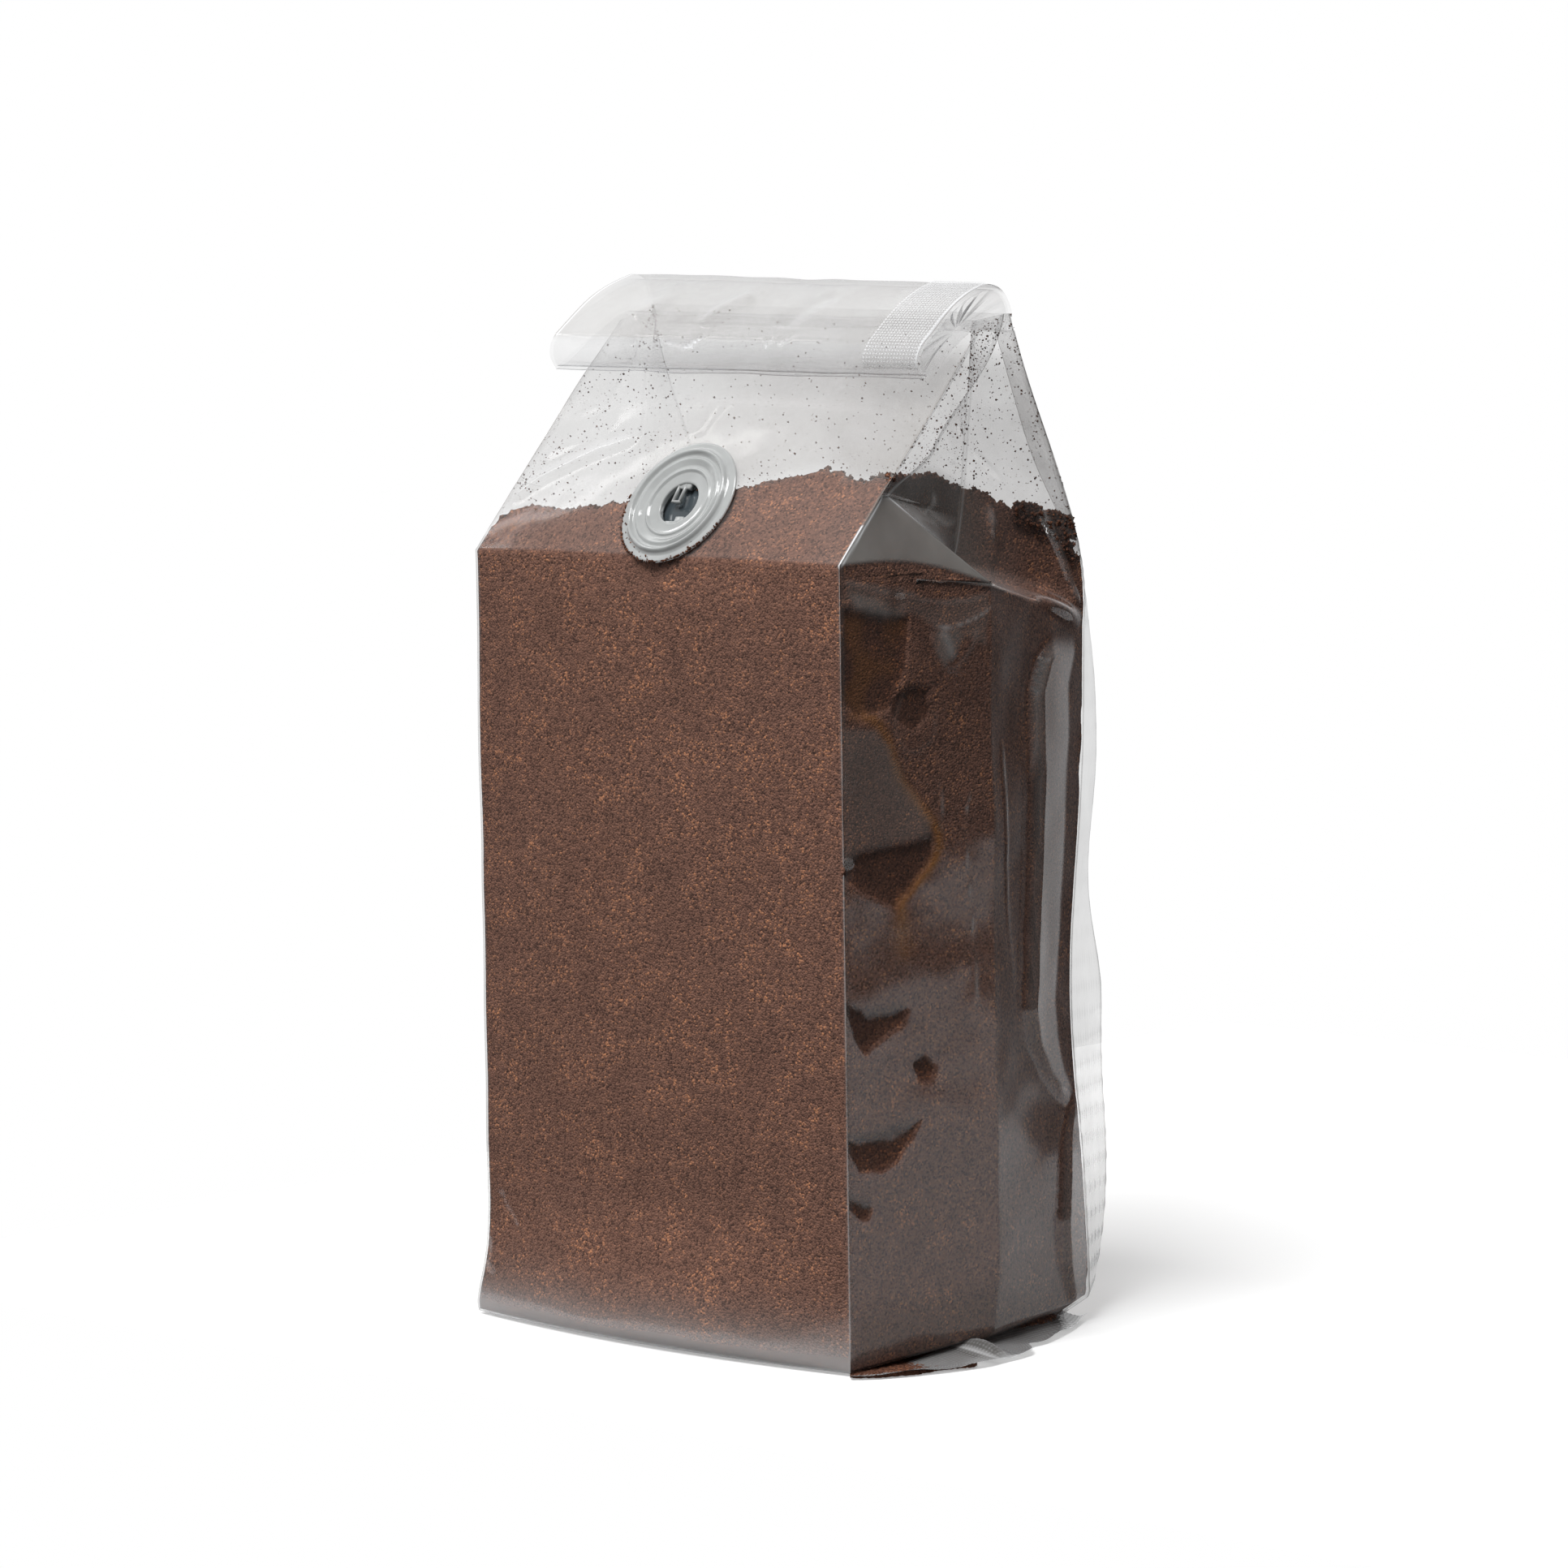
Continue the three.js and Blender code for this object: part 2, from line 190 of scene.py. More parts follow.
def fold_above(share):
    """The first fold: up the corner facet, then along the slope's side edge."""
    if share <= facet_top:
        tip = slope_edge(facet_top) + vec(-0.8, 1.2, 0.2)
        return lerp(vec(half + crease_bulge, depth / 2, crease_height), tip, share / facet_top)
    front = slope_edge(share)
    crease = crease_above(share)
    along = lerp(crease, back_edge(share) - vec(1, 0, 0), smooth(share, 0.55, 1.0)) - front
    distance = np.linalg.norm(along)
    most = lerp(0.55, 0.97, smooth(share, 0.55, 1.0)) * distance
    reach = min(lerp(1.4, strip_width, smooth(share, facet_top, 0.5)), most)
    return front + along / distance * reach


def side(start, end, count, bow):
    """Points from one corner to the next, closer together near the corners."""
    s = np.arange(count) / count
    s = lerp(s, s * s * (3 - 2 * s), 0.8)
    return start + np.outer(s, end - start) + np.outer(4 * s * (1 - s), bow)


def film_loop(front, fold, crease, back, front_bow, back_bow, dent):
    """One loop of film, anticlockwise from the front left edge."""
    right = [front, fold, crease, back]
    left = [corner * vec(-1, 1, 1) for corner in right]
    splay = corner_flare * bump(front[2], 0.0, 9.0)
    left[0] = left[0] + vec(-splay, -0.7 * splay, 0)
    none = vec(0, 0, 0)
    corners = [left[0], *right, *left[:0:-1], left[0]]
    bows = [front_bow, none, none, vec(-dent, 0, 0), back_bow, vec(0.6 * dent, 0, 0), none, none]
    sides = zip(corners[:-1], corners[1:], loop_steps, bows)
    return np.concatenate([side(*one) for one in sides])


def body_loop(share):
    front, crease, back = body_corners(share)
    rounded = shoulder_soft * bump((1 - share) * front_height, 0.0, shoulder_reach)
    front_bow = vec(0, rounded + inset_at(share) - swell_at(front_swell, share), 0)
    back_bow = vec(0, swell_at(back_swell, share) - inset_at(share), 0)
    dent = 0.3 * bump(share, 0.45, 0.28)
    return film_loop(front, (front + crease) / 2, crease, back, front_bow, back_bow, dent)


def slope_loop(share):
    slope_out = vec(0, front_height - neck_height, slope_run) / slope_length
    rounded = shoulder_soft * bump(share * slope_length, 0.0, shoulder_reach)
    back_bow = vec(0, 1, 0.3) * back_swell["shoulder"] * (1 - share)
    corners = (slope_edge(share), fold_above(share), crease_above(share), back_edge(share))
    return film_loop(*corners, slope_out * (crown_at(share) - rounded), back_bow, 0.0)


def skewed(points):
    """The ridge stands a little higher and further back at its left end."""
    moved = np.array(points, float)
    rise = np.clip((moved[..., 2] - front_height) / (ridge_height - front_height), 0, 1.05) ** 2
    shift = -ridge_tilt * rise * moved[..., 0] / half
    moved[..., 1] += shift * lerp(-1.0, 1.0, smooth(moved[..., 1], slope_run / 2, slope_run))
    moved[..., 2] += shift
    return moved


def curve(points, count=26):
    """A smooth curve through a few points."""
    p = np.array([points[0], *points, points[-1]], float)
    spans = len(points) - 1
    made = []
    for t in np.linspace(0, spans, count):
        i = min(int(t), spans - 1)
        s = t - i
        a, b, c, d = p[i : i + 4]
        made.append(b + 0.5 * s * (c - a + s * (2 * a - 5 * b + 4 * c - d + s * (3 * (b - c) + d - a))))
    return np.array(made)


def near_path(points, path):
    """Distance of each point from a path, and the share of the path's length where it is nearest."""
    nearest = np.full(points.shape[:-1], 1e9)
    share = np.zeros(points.shape[:-1])
    for i, (start, end) in enumerate(zip(path[:-1], path[1:])):
        line = end - start
        t = np.clip(((points - start) @ line) / (line @ line), 0, 1)
        distance = np.linalg.norm(points - start - t[..., None] * line, axis=-1)
        closer = distance < nearest
        nearest = np.where(closer, distance, nearest)
        share = np.where(closer, (i + t) / (len(path) - 1), share)
    return nearest, share


def grid_normals(grid, closed):
    if closed:
        along = np.roll(grid, -1, axis=1) - np.roll(grid, 1, axis=1)
    else:
        along = np.gradient(grid, axis=1)
    normals = np.cross(along, np.gradient(grid, axis=0))
    return normals / np.maximum(np.linalg.norm(normals, axis=-1, keepdims=True), 1e-9)


def grid_faces(rows, columns, closed):
    row = np.arange(rows - 1)[:, None] * columns
    column = np.arange(columns if closed else columns - 1)[None, :]
    a = row + column
    b = row + (column + 1) % columns
    return np.stack([a, b, b + columns, a + columns], axis=-1).reshape(-1, 4).tolist()


def fan(start, count, centre, facing_down):
    """Triangles from a closed row of points to one point in its middle."""
    ring = [(start + i, start + (i + 1) % count) for i in range(count)]
    return [(centre, b, a) if facing_down else (centre, a, b) for a, b in ring]


def make_piece(name, points, faces, material, marks=None):
    """A smooth mesh object at the origin, with named values on its points for the material."""
    mesh = bpy.data.meshes.new(name)
    mesh.from_pydata(metres(points).tolist(), [], faces)
    mesh.polygons.foreach_set("use_smooth", [True] * len(mesh.polygons))
    for mark, values in (marks or {}).items():
        layer = mesh.attributes.new(mark, "FLOAT", "POINT")
        layer.data.foreach_set("value", np.asarray(values, float).ravel())
    mesh.materials.append(material)
    piece = bpy.data.objects.new(name, mesh)
    bpy.context.collection.objects.link(piece)
    return piece


class NodeTree:
    """Adds nodes to a material or to the world, and gives back what each one puts out."""

    def __init__(self, tree):
        self.tree = tree

    def feed(self, node, inputs):
        """Sets a node's inputs: to a constant, or to what another node puts out."""
        for name, value in inputs.items():
            if isinstance(value, bpy.types.NodeSocket):
                self.tree.links.new(value, node.inputs[name])
            else:
                node.inputs[name].default_value = value

    def add(self, kind, inputs=None, output=0, **settings):
        node = self.tree.nodes.new("ShaderNode" + kind)
        for name, value in settings.items():
            setattr(node, name, value)
        self.feed(node, inputs or {})
        return node.outputs[output]

    def math(self, kind, first, second, clamp=False):
        return self.add("Math", {0: first, 1: second}, operation=kind, use_clamp=clamp)

    def scaled(self, value, scale, offset):
        return self.add("Math", {0: value, 1: scale, 2: offset}, operation="MULTIPLY_ADD")

    def place(self):
        return self.add("TexCoord", output="Object")

    def noise(self, scale, detail, roughness=0.5):
        inputs = {"Vector": self.place(), "Scale": scale, "Detail": detail, "Roughness": roughness}
        return self.add("TexNoise", inputs, "Fac")

    def mark(self, name):
        """A value that the mesh holds at each of its points."""
        return self.add("Attribute", output="Fac", attribute_name=name)

    def blend(self, factor, first, second, kind="MIX"):
        inputs = {"Factor": factor, "A": first, "B": second}
        return self.add("Mix", inputs, "Result", data_type="RGBA", blend_type=kind)

    def ramp(self, value, stops):
        """A colour for each value, blended between the stops."""
        node = self.tree.nodes.new("ShaderNodeValToRGB")
        elements = node.color_ramp.elements
        for element, (position, colour) in zip(elements, (stops[0], stops[-1])):
            element.position = position
            element.color = colour
        for position, colour in stops[1:-1]:
            elements.new(position).color = colour
        self.feed(node, {"Fac": value})
        return node.outputs["Color"]


def new_material(name):
    material = bpy.data.materials.new(name)
    material.use_nodes = True
    return material, NodeTree(material.node_tree), material.node_tree.nodes["Principled BSDF"]


def film_material(name, wave_depth, haze_tone):
    """Clear glossy film: it lets light through except for its shine, its dust and its whitened folds. Its
    haze and fold marks also carry painted shade, painted highlights and painted reflections.
    """
    material, nodes, shader = new_material(name)
    haze = nodes.mark("haze")
    fold = nodes.mark("fold")
    clouds = nodes.noise(cloud_scale, 4.0, 0.6)
    facing = nodes.add("LayerWeight", {"Blend": 0.5}, "Facing")
    gloss = nodes.scaled(nodes.math("POWER", facing, 5.0), 1 - film_shine, film_shine)
    cloudy = nodes.math("MULTIPLY", haze, nodes.scaled(clouds, 1.4, 0.3))
    cover = nodes.math("ADD", gloss, nodes.scaled(fold, fold_white, cloudy), clamp=True)
    mirror = nodes.math("DIVIDE", gloss, nodes.math("MAXIMUM", cover, 0.001), clamp=True)
    white = nodes.math("ADD", mirror, nodes.math("MULTIPLY", fold, 1.5), clamp=True)
    height = nodes.noise(wave_scale, 2.0)
    wave = nodes.add("Bump", {"Height": height, "Distance": wave_depth}, "Normal")
    lean = nodes.add("CombineXYZ", {"Z": nodes.mark("lean")})
    leaned = nodes.add("VectorMath", {0: wave, 1: lean}, operation="ADD")
    nodes.feed(shader, {
        "Alpha": cover,
        "Metallic": mirror,
        "Base Color": nodes.blend(white, haze_tone, shine_colour),
        "Roughness": nodes.scaled(clouds, 0.1, film_rough),
        "Normal": nodes.add("VectorMath", {0: leaned}, operation="NORMALIZE"),
    })
    return material


film_shine = 0.05  # share of the light that the film reflects where it is seen squarely
film_rough = 0.07
fold_white = 0.6
cloud_scale = 45.0
wave_scale = 70.0
dust_and_sheen_colour = (0.35, 0.33, 0.307, 1.0)
shine_colour = (0.97, 0.98, 1.0, 1.0)
clear_film = film_material("clear film", 0.00015, dust_and_sheen_colour)


def on_side(points):
    """Points given as depth and height lie on the right side's wall; the others stay as they are."""
    reach = crease_bulge / (depth / 2)
    return [(half + reach * min(p[0], depth - p[0]), *p) if len(p) == 2 else p for p in points]


# Folds pressed into the film: path, width, height out of the sheet, and how far it whitens.
# The whitening is partly the film's own and partly a painted highlight where a fold catches the light.
folds = [
    # the light line along the roll beside the back right edge, a painted highlight
    ([(45.5, 115), (42.4, 110), (41.8, 103), (42.2, 92)], 0.5, 0.1, 0.2),
    # crescents under the corner facet
    ([(0.6, 129.4), (6, 128.2), (10, 126.8)], 0.8, 0.08, 0.12),
    ([(10.5, 127.8), (18.5, 125.2), (28.6, 125.4)], 0.7, 0.08, 0.16),
    ([(0.4, 126.4), (6, 124.2), (12, 123)], 1.5, 0.12, 0.1),
    ([(12, 127), (11, 122), (14, 117)], 1.2, -0.3, 0.0),
    # a puckered ring below them
    ([(17.4, 121.6), (19, 117), (22, 114), (25.5, 117), (27.3, 121)], 0.6, 0.08, 0.12),
    ([(17.4, 121.8), (22, 121), (27.5, 122.5), (30, 124)], 0.4, 0.08, 0.4),
    ([(20, 121), (21.5, 117.5), (22.5, 115.5)], 1.5, 0.1, 0.22),
    ([(13, 112), (10.5, 106), (13, 101), (18, 103), (18.5, 109)], 0.7, 0.05, 0.06),
    # long scratches
    ([(25.5, 94), (24, 88), (25.7, 70), (26.1, 58)], 0.28, 0.15, 0.4),
    ([(32.9, 102.6), (34.3, 76), (36.4, 57)], 0.28, 0.15, 0.4),
    ([(19, 96), (19.5, 92), (19, 88)], 0.28, 0.15, 0.25),
    # the gusset's folds above the back half of the shoulder
    ([(38.5, 40.5, 140), (40.5, 41.3, 133), (43, 42.4, 127.8), (44.5, 48.3, 123.8), (42.5, 59, 119.6)],
     1.1, 0.9, 0.45),
    ([(38.2, 31, 156.6), (38.4, 37.1, 149.6), (39.4, 51.3, 136.8)], 0.6, 0.5, 0.25),
    ([(38.5, 22.5, 138.8), (38.3, 24.1, 140.4), (38.0, 26.4, 141.8)], 1.1, 0.9, 0.25),
    ([(38.4, 24.4, 149), (38.4, 31.5, 147), (38.6, 39, 145.6)], 0.4, 0.3, 0.25),
    ([(41, 51, 139), (42, 55, 131), (42.4, 58.6, 122)], 0.7, 0.6, 0.35),
    # puckers along the front right edge
    ([(42.4, -0.4, 83), (2, 82)], 1.0, -0.5, 0.03),
    ([(38, -1.0, 82), (42.2, -0.6, 83.4)], 0.6, 0.3, 0.12),
    ([(39.5, -1.2, 40.4), (42.4, -0.8, 40.5)], 0.5, 0.25, 0.12),
    ([(39.5, -1.0, 60.4), (42.4, -0.6, 59.8)], 0.5, 0.25, 0.12),
    ([(39.5, -1.0, 22.8), (42.4, -0.6, 22.0)], 0.5, 0.25, 0.12),
    # the crease that runs up from the foot of the front right edge
    ([(42, -2, 1.6), (38.9, -3.5, 2.7), (31.7, -4.2, 4.9)], 0.9, 0.5, 0.1),
    # the dent by the front left corner's foot
    ([(-39.8, -2.0, 22), (-38.3, -2.2, 18.8), (-36.7, -2.4, 17.6), (-34.2, -2.6, 14.4)], 1.3, -1.0, 0.0),
    ([(-40.6, -1.8, 22.5), (-39.0, -2.0, 19.4), (-37.6, -2.2, 17.4), (-35.2, -2.4, 13.8)], 0.7, 0.4, 0.3),
    ([(-41.6, -1.6, 15), (-40.3, -1.8, 11.5), (-41.5, -2.0, 8)], 1.4, 0.6, 0.12),
    # creases in the front slope around the valve and below the cuff
    ([(-4.6, 15.7, 151), (-4.1, 17.1, 152.6), (-3.9, 19.4, 154.9), (-3.1, 21.7, 157.4)], 0.8, 0.25, 0.0),
    ([(-21.9, 22.9, 158.7), (-15.6, 18, 153.5), (-9.6, 13.8, 148.9)], 0.7, 0.15, 0.0),
    ([(-41.5, 6, 140.6), (-38, 9, 143.8), (-32, 11.5, 146.6), (-25, 14, 149.2), (-17.4, 16, 151.4)],
     1.8, 0.5, 0.3),
    ([(-40, 13, 148.3), (-33, 15, 150.4), (-25, 16, 151.5)], 3.0, 0.3, 0.1),
    # this fold's whitening is a painted highlight
    ([(34.7, 20.7, 156.3), (38.4, 19.2, 154.7), (40.8, 18.8, 154.4), (42.2, 19.7, 155.3)], 0.5, 0.7, 0.85),
    ([(-39.2, 19.5, 155.1), (-28.8, 21.1, 156.8), (-9.5, 21.3, 157), (22.7, 20.9, 156.6),
      (42.3, 19.2, 154.8)], 1.4, 0.06, 0.08),
    # folds on the back and on the left side, like those of the right
    ([(-46.5, 50, 112), (-46.5, 46, 100), (-46, 45, 80), (-46, 46, 62), (-44, 53, 46)], 3.0, 1.2, 0.0),
    ([(-45, 8, 96), (-46, 14, 80), (-45, 9, 66)], 2.2, -0.9, 0.0),
    ([(-45, 6, 120), (-46, 16, 116), (-46.5, 27, 119)], 1.4, 0.7, 0.04),
    ([(-30, 62, 118), (-18, 62.5, 96), (-24, 62.5, 70)], 3.0, 0.8, 0.0),
    ([(16, 62.5, 110), (24, 62.5, 84), (15, 62.5, 56)], 3.2, -0.8, 0.0),
    ([(-8, 61, 130), (2, 58, 138), (18, 60, 126)], 2.0, 0.7, 0.02),
]

# Pockets where the coffee stands off the film on the right side, and the film leans back over them;
# the grounds in them are darkened with painted shade. Outlines in depth and height on the wall
pockets = [
    [(1, 124.5), (5.5, 124.5), (13.5, 123), (13.5, 119), (12.5, 113), (9, 108), (4, 107.5), (0.5, 110)],
    [(12.5, 111.5), (17.5, 111), (17.5, 106.5), (14.5, 104.5), (10.5, 106.5), (10.5, 109.5)],
    [(0, 83), (3, 85), (17.5, 86.5), (18, 83.5), (13, 78), (10.5, 76), (4.5, 78.5), (0, 82)],
    [(0, 61), (4, 59), (12.5, 59), (12, 57), (7.5, 55), (4, 52.5), (2.5, 54), (1, 58)],
    [(13.5, 50), (15.5, 51), (18, 49), (17, 47), (14.5, 47.5)],
    [(0.5, 38.5), (7.5, 39), (14.5, 40.5), (12.5, 37.5), (9.5, 34), (7, 33), (2.5, 33.5), (0.5, 37)],
    [(0, 29), (2.5, 29), (5, 27), (4, 25), (2, 26), (0, 27.5)],
]
# Places where the film lies close and shows a grey reflection, painted on as extra haze: outline, and how
# much haze it gets
painted_veils = [
    ([(0.5, 105.5), (6.5, 105), (9.5, 102), (12, 96.5), (17.5, 89.5), (17, 87), (3, 85.5),
      (0.5, 83.5)], 0.16),
    ([(1, 129.5), (6.5, 128.5), (11.5, 127.5), (17.5, 125), (24, 125), (29.5, 126.5), (28.5, 118),
      (23.5, 119.5), (19.5, 121), (14, 123.5), (6, 125.5), (1, 127)], 0.12),
    ([(2, 127), (6.5, 126.5), (12.5, 123.5), (8.5, 123.5), (3, 125)], 0.22),
    ([(18.5, 120.5), (23, 120.5), (24, 119), (22, 116), (20.5, 115), (19, 117)], 0.26),
]

# The roll beside the back right edge: the film steps out along a line and falls back in a flat face.
# Heights on the wall, where the step is, and how far the face reaches back
roll_steepness = 0.2
rolls = [
    ((118, 114, 109, 100, 88, 75, 66, 56, 50, 44, 38), (50, 45, 42.5, 42.5, 42.5, 42, 41, 40, 42, 47, 54),
     (6, 11.5, 12, 12, 11, 10.5, 10.5, 10, 9, 6, 3)),
    ((40, 34, 30, 19, 11, 5, 2), (56, 53.5, 52, 50.5, 51, 54, 57), (3, 5, 7, 8.5, 8, 5, 3)),
]


def gentle(points, scale, seed):
    """Slow random waves, from -1 to 1, at each point of a grid."""
    flat = points.reshape(-1, 3) / scale + seed
    return np.array([noise.noise(p) for p in flat.tolist()]).reshape(points.shape[:-1])


def pressed_folds(grid, fold_list, ends):
    """How far a list of folds raises each point of a grid, and how far they whiten it; the whitening is
    partly a painted highlight.
    """
    raised = np.zeros(grid.shape[:2])
    whitened = np.zeros(grid.shape[:2])
    for path, fold_width, height, whitening in fold_list:
        distance, share = near_path(grid, curve(on_side(path)))
        fade = smooth(share, 0.0, ends) * (1 - smooth(share, 1 - ends, 1.0)) * (1 - smooth(distance, 8, 12))
        raised += height * bump(distance, 0, fold_width) * fade
        whitened += whitening * bump(distance, 0, 0.6 * fold_width) * fade
    return raised, whitened


def inside(points, outline):
    """How far inside an outline on the right side each point lies; negative outside it."""
    flat = points * vec(0, 1, 1)
    corners = np.array([(0, y, z) for y, z in [*outline, outline[0]]], float)
    distance, _ = near_path(flat, corners)
    within = np.zeros(points.shape[:2], bool)
    for (_, y0, z0), (_, y1, z1) in zip(corners[:-1], corners[1:]):
        if z0 != z1:
            crosses = (z0 > points[..., 2]) != (z1 > points[..., 2])
            within ^= crosses & (points[..., 1] < y0 + (points[..., 2] - z0) / (z1 - z0) * (y1 - y0))
    return np.where(within, distance, -distance)


body_shares = [*(base_share * np.linspace(0, 1, 9)[:-1]), *np.linspace(base_share, 1, body_rows)[:-1]]
rows = [body_loop(share) for share in body_shares]
rows += [slope_loop(share) for share in np.linspace(0, 1, slope_rows)]
film = skewed(rows)
film_out = grid_normals(film, closed=True)
film_x, film_y, film_z = np.moveaxis(film, -1, 0)
row_count, column_count = film_z.shape
shoulder_row = len(body_shares)
corner_columns = np.cumsum((0,) + loop_steps[:-1])
front_left, front_right, fold_right, crease_right = corner_columns[:4]
back_right, back_left, crease_left, fold_left = corner_columns[4:]

raised, film_whitening_and_highlights = pressed_folds(film, folds, 0.15)
rolled = 0
for heights, steps, reaches in rolls:
    step = np.interp(film_z, heights[::-1], steps[::-1]) + 0.4 * gentle(film, 9.0, 70.0)
    reach = np.interp(film_z, heights[::-1], reaches[::-1])
    behind = film_y - step
    face = smooth(behind, -0.9, 0.2) * np.clip(reach - behind, 0, reach) * roll_steepness
    ends = smooth(film_z, heights[-1], heights[-1] + 4) * (1 - smooth(film_z, heights[0] - 4, heights[0]))
    rolled += face * ends * (film_x > half)

on_right = film_x > half - 0.5
ragged_edge = 0.5 * gentle(film, 2.2, 30.0)
pocket_depth = np.max([inside(film, outline) for outline in pockets], axis=0)
pocket_depth = np.where(on_right, pocket_depth + ragged_edge, -far_off)
pocket_field = smooth(pocket_depth, -1.0, 1.0)
film_lean = 0.11 * smooth(pocket_depth, -0.7, 0.5)
dented = 0.12 * smooth(pocket_depth, -0.5, 1.5)
# A grey veil on the right side: a painted reflection, put into the film's haze
painted_veil_field = 0
for outline, amount in painted_veils:
    painted_veil_field += amount * smooth(inside(film, outline) + 0.8 * ragged_edge, -0.6, 0.8) * on_right
film_wave = 0.2 * gentle(film, 16.0, 3.0) + 0.03 * gentle(film, 6.0, 9.0)
film_wave *= lerp(1.0, 1.8, (film_z > front_height) | (film_x > half))
grip = smooth(film_z, 0.5, 6.0)  # the folded base holds the film still
film = film + film_out * ((raised + rolled + film_wave - dented) * grip)[..., None]

# The film is held flat where the valve is welded to it, and has a hole behind the valve's middle.
valve_across = 1.2
valve_up_slope = 10.2
valve_tilt = math.radians(35)
valve_reach = 6.0  # only film this near to the valve's plane is pressed, not the bag's far side
valve_soft = 1.5
flange_radius = 11.7
cup_radius = 7.2
slope_angle = math.atan2(slope_run, neck_height - front_height)
valve_crown = crown_at(valve_up_slope / slope_length)
valve_middle = vec(
    valve_across,
    valve_up_slope * math.sin(slope_angle) - valve_crown * math.cos(slope_angle),
    front_height + valve_up_slope * math.cos(slope_angle) + valve_crown * math.sin(slope_angle),
)
valve_right = vec(1, 0, 0)
valve_up = vec(0, math.sin(valve_tilt), math.cos(valve_tilt))
valve_out = vec(0, -math.cos(valve_tilt), math.sin(valve_tilt))


def behind_valve(points, radius, height):
    """Presses the front slope's points that lie behind the valve back to a height on its axis."""
    local = points - valve_middle
    out = local @ valve_out
    away = np.where(np.abs(out) < valve_reach, np.hypot(local @ valve_right, local @ valve_up), far_off)
    near = 1 - smooth(away, radius, radius + valve_soft)
    return points + (near * np.minimum(0, height - out))[..., None] * valve_out, away


film, valve_distance = behind_valve(film, flange_radius, -0.1)
film_out = grid_normals(film, closed=True)
film_x, film_y, film_z = np.moveaxis(film, -1, 0)


heap_top = 141.6
heap_tilt = 0.118
heap_fall = 0.0112  # how fast its back half falls


def heap_height(x, y):
    """Height of the coffee's heaped top: higher towards the right and the middle, lower at the back."""
    slow = heap_top + heap_tilt * x - heap_fall * np.maximum(0, y - 22) ** 2 - 1.3 * (x > 32.5)
    lumps = 1.9 * bump(x, -36, 6) * bump(y, 4, 9) + 1.2 * bump(x, 26, 6) * bump(y, 11, 9)
    return slow + lumps + 1.2 * bump(x, 5, 25) * bump(y, 25, 15)


columns = np.arange(column_count)[None, :]
rows_up = np.arange(row_count)[:, None]
facet_end = shoulder_row + int(facet_top * slope_rows)


def between(first, last):
    """The film's columns from one fold to the next."""
    return (columns > first) & (columns < last)


on_body = rows_up < shoulder_row
on_gusset = between(front_right, back_right)
right_wall = on_body & on_gusset
front_panel = on_body & between(front_left, front_right)
front_slope = (rows_up > shoulder_row) & between(front_left, front_right)
facet = ~on_body & (rows_up <= facet_end) & between(front_right, fold_right)
strip = (rows_up > facet_end) & between(front_right, fold_right)
gusset_above = ~on_body & between(fold_right, back_right)

# Dust inside the film over the coffee: thicker to the right, thin on the gussets and near the cuff
above_heap = film_z - heap_height(film_x, film_y)
headspace = smooth(above_heap, -1.0, 2.5)
fading = 1 - 0.8 * smooth(film_z, 161, 168)
dust_share = lerp(0.8, 1.75, smooth(film_x, -25, 10)) * np.where(on_gusset, 0.35, 1.0)
film_dust_and_painted_light = lerp(0.006, 0.2 * fading * dust_share, headspace)
# The painted veil, and a painted highlight on the roll's flat face, go into the haze
film_dust_and_painted_light += painted_veil_field + 0.13 * np.clip(rolled / 1.6, 0, 1)
# The gusset's film lies double behind the front slope's right end
doubled_from = lerp(33.1, 20.5, (film_z - 145.0) / 14.8)
doubled = (film_x > doubled_from) & (film_z > 143) & (film_y < film_z - 126)
film_dust_and_painted_light += 0.05 * (doubled & (headspace > 0.5))
# The facet over the shoulder is dusty above a curved line
facet_line = 132.0 - 4.4 * film_y / 30 + 2.0 * np.sin(math.pi * np.clip(film_y / 30, 0, 1))
film_dust_and_painted_light += 0.6 * facet * smooth(film_z - facet_line, -0.3, 0.5)
# A painted sheen on the coffee seen above the facet, fading towards the back
film_dust_and_painted_light += 0.4 * gusset_above * (1 - headspace) * (1 - smooth(film_y, 26, 50))
film_dust_and_painted_light *= np.where(strip & (headspace > 0.5), 0.2, 1.0)
# Near the foot, painted reflections of the table: more haze along the right side's and the front's foot
film_dust_and_painted_light += 0.08 * right_wall * bump(film_z, 2, 7) + 0.1 * front_panel * bump(film_z, 2, 6.5)
film_dust_and_painted_light += 0.07 * front_slope * (1 - headspace)
film_lean += 0.03 * (right_wall & (columns > crease_right))
# A painted reflection of the table: a white band along the front's foot
film_whitening_and_highlights += 0.46 * front_panel * bump(film_z, 0.0, 5.5)


crease_reach = 14  # columns of film beside a crease that it can mark


def paint_crease_shade_and_highlight(column, part, grey, white, grey_width=0.28, white_width=0.2):
    """A crease shows as a grey line with a white one beside it: painted shade along it, and a painted
    highlight beside it.
    """
    away = np.linalg.norm(film[part] - film[part, column][:, None], axis=-1)
    steps_off = np.abs(columns - column)
    near = np.minimum(steps_off, column_count - steps_off) < crease_reach
    beside = np.where(columns > column, away - 2.2 * grey_width, far_off)
    film_dust_and_painted_light[part] += grey * near * bump(away, 0, grey_width)
    film_whitening_and_highlights[part] += white * near * bump(beside, 0, white_width)


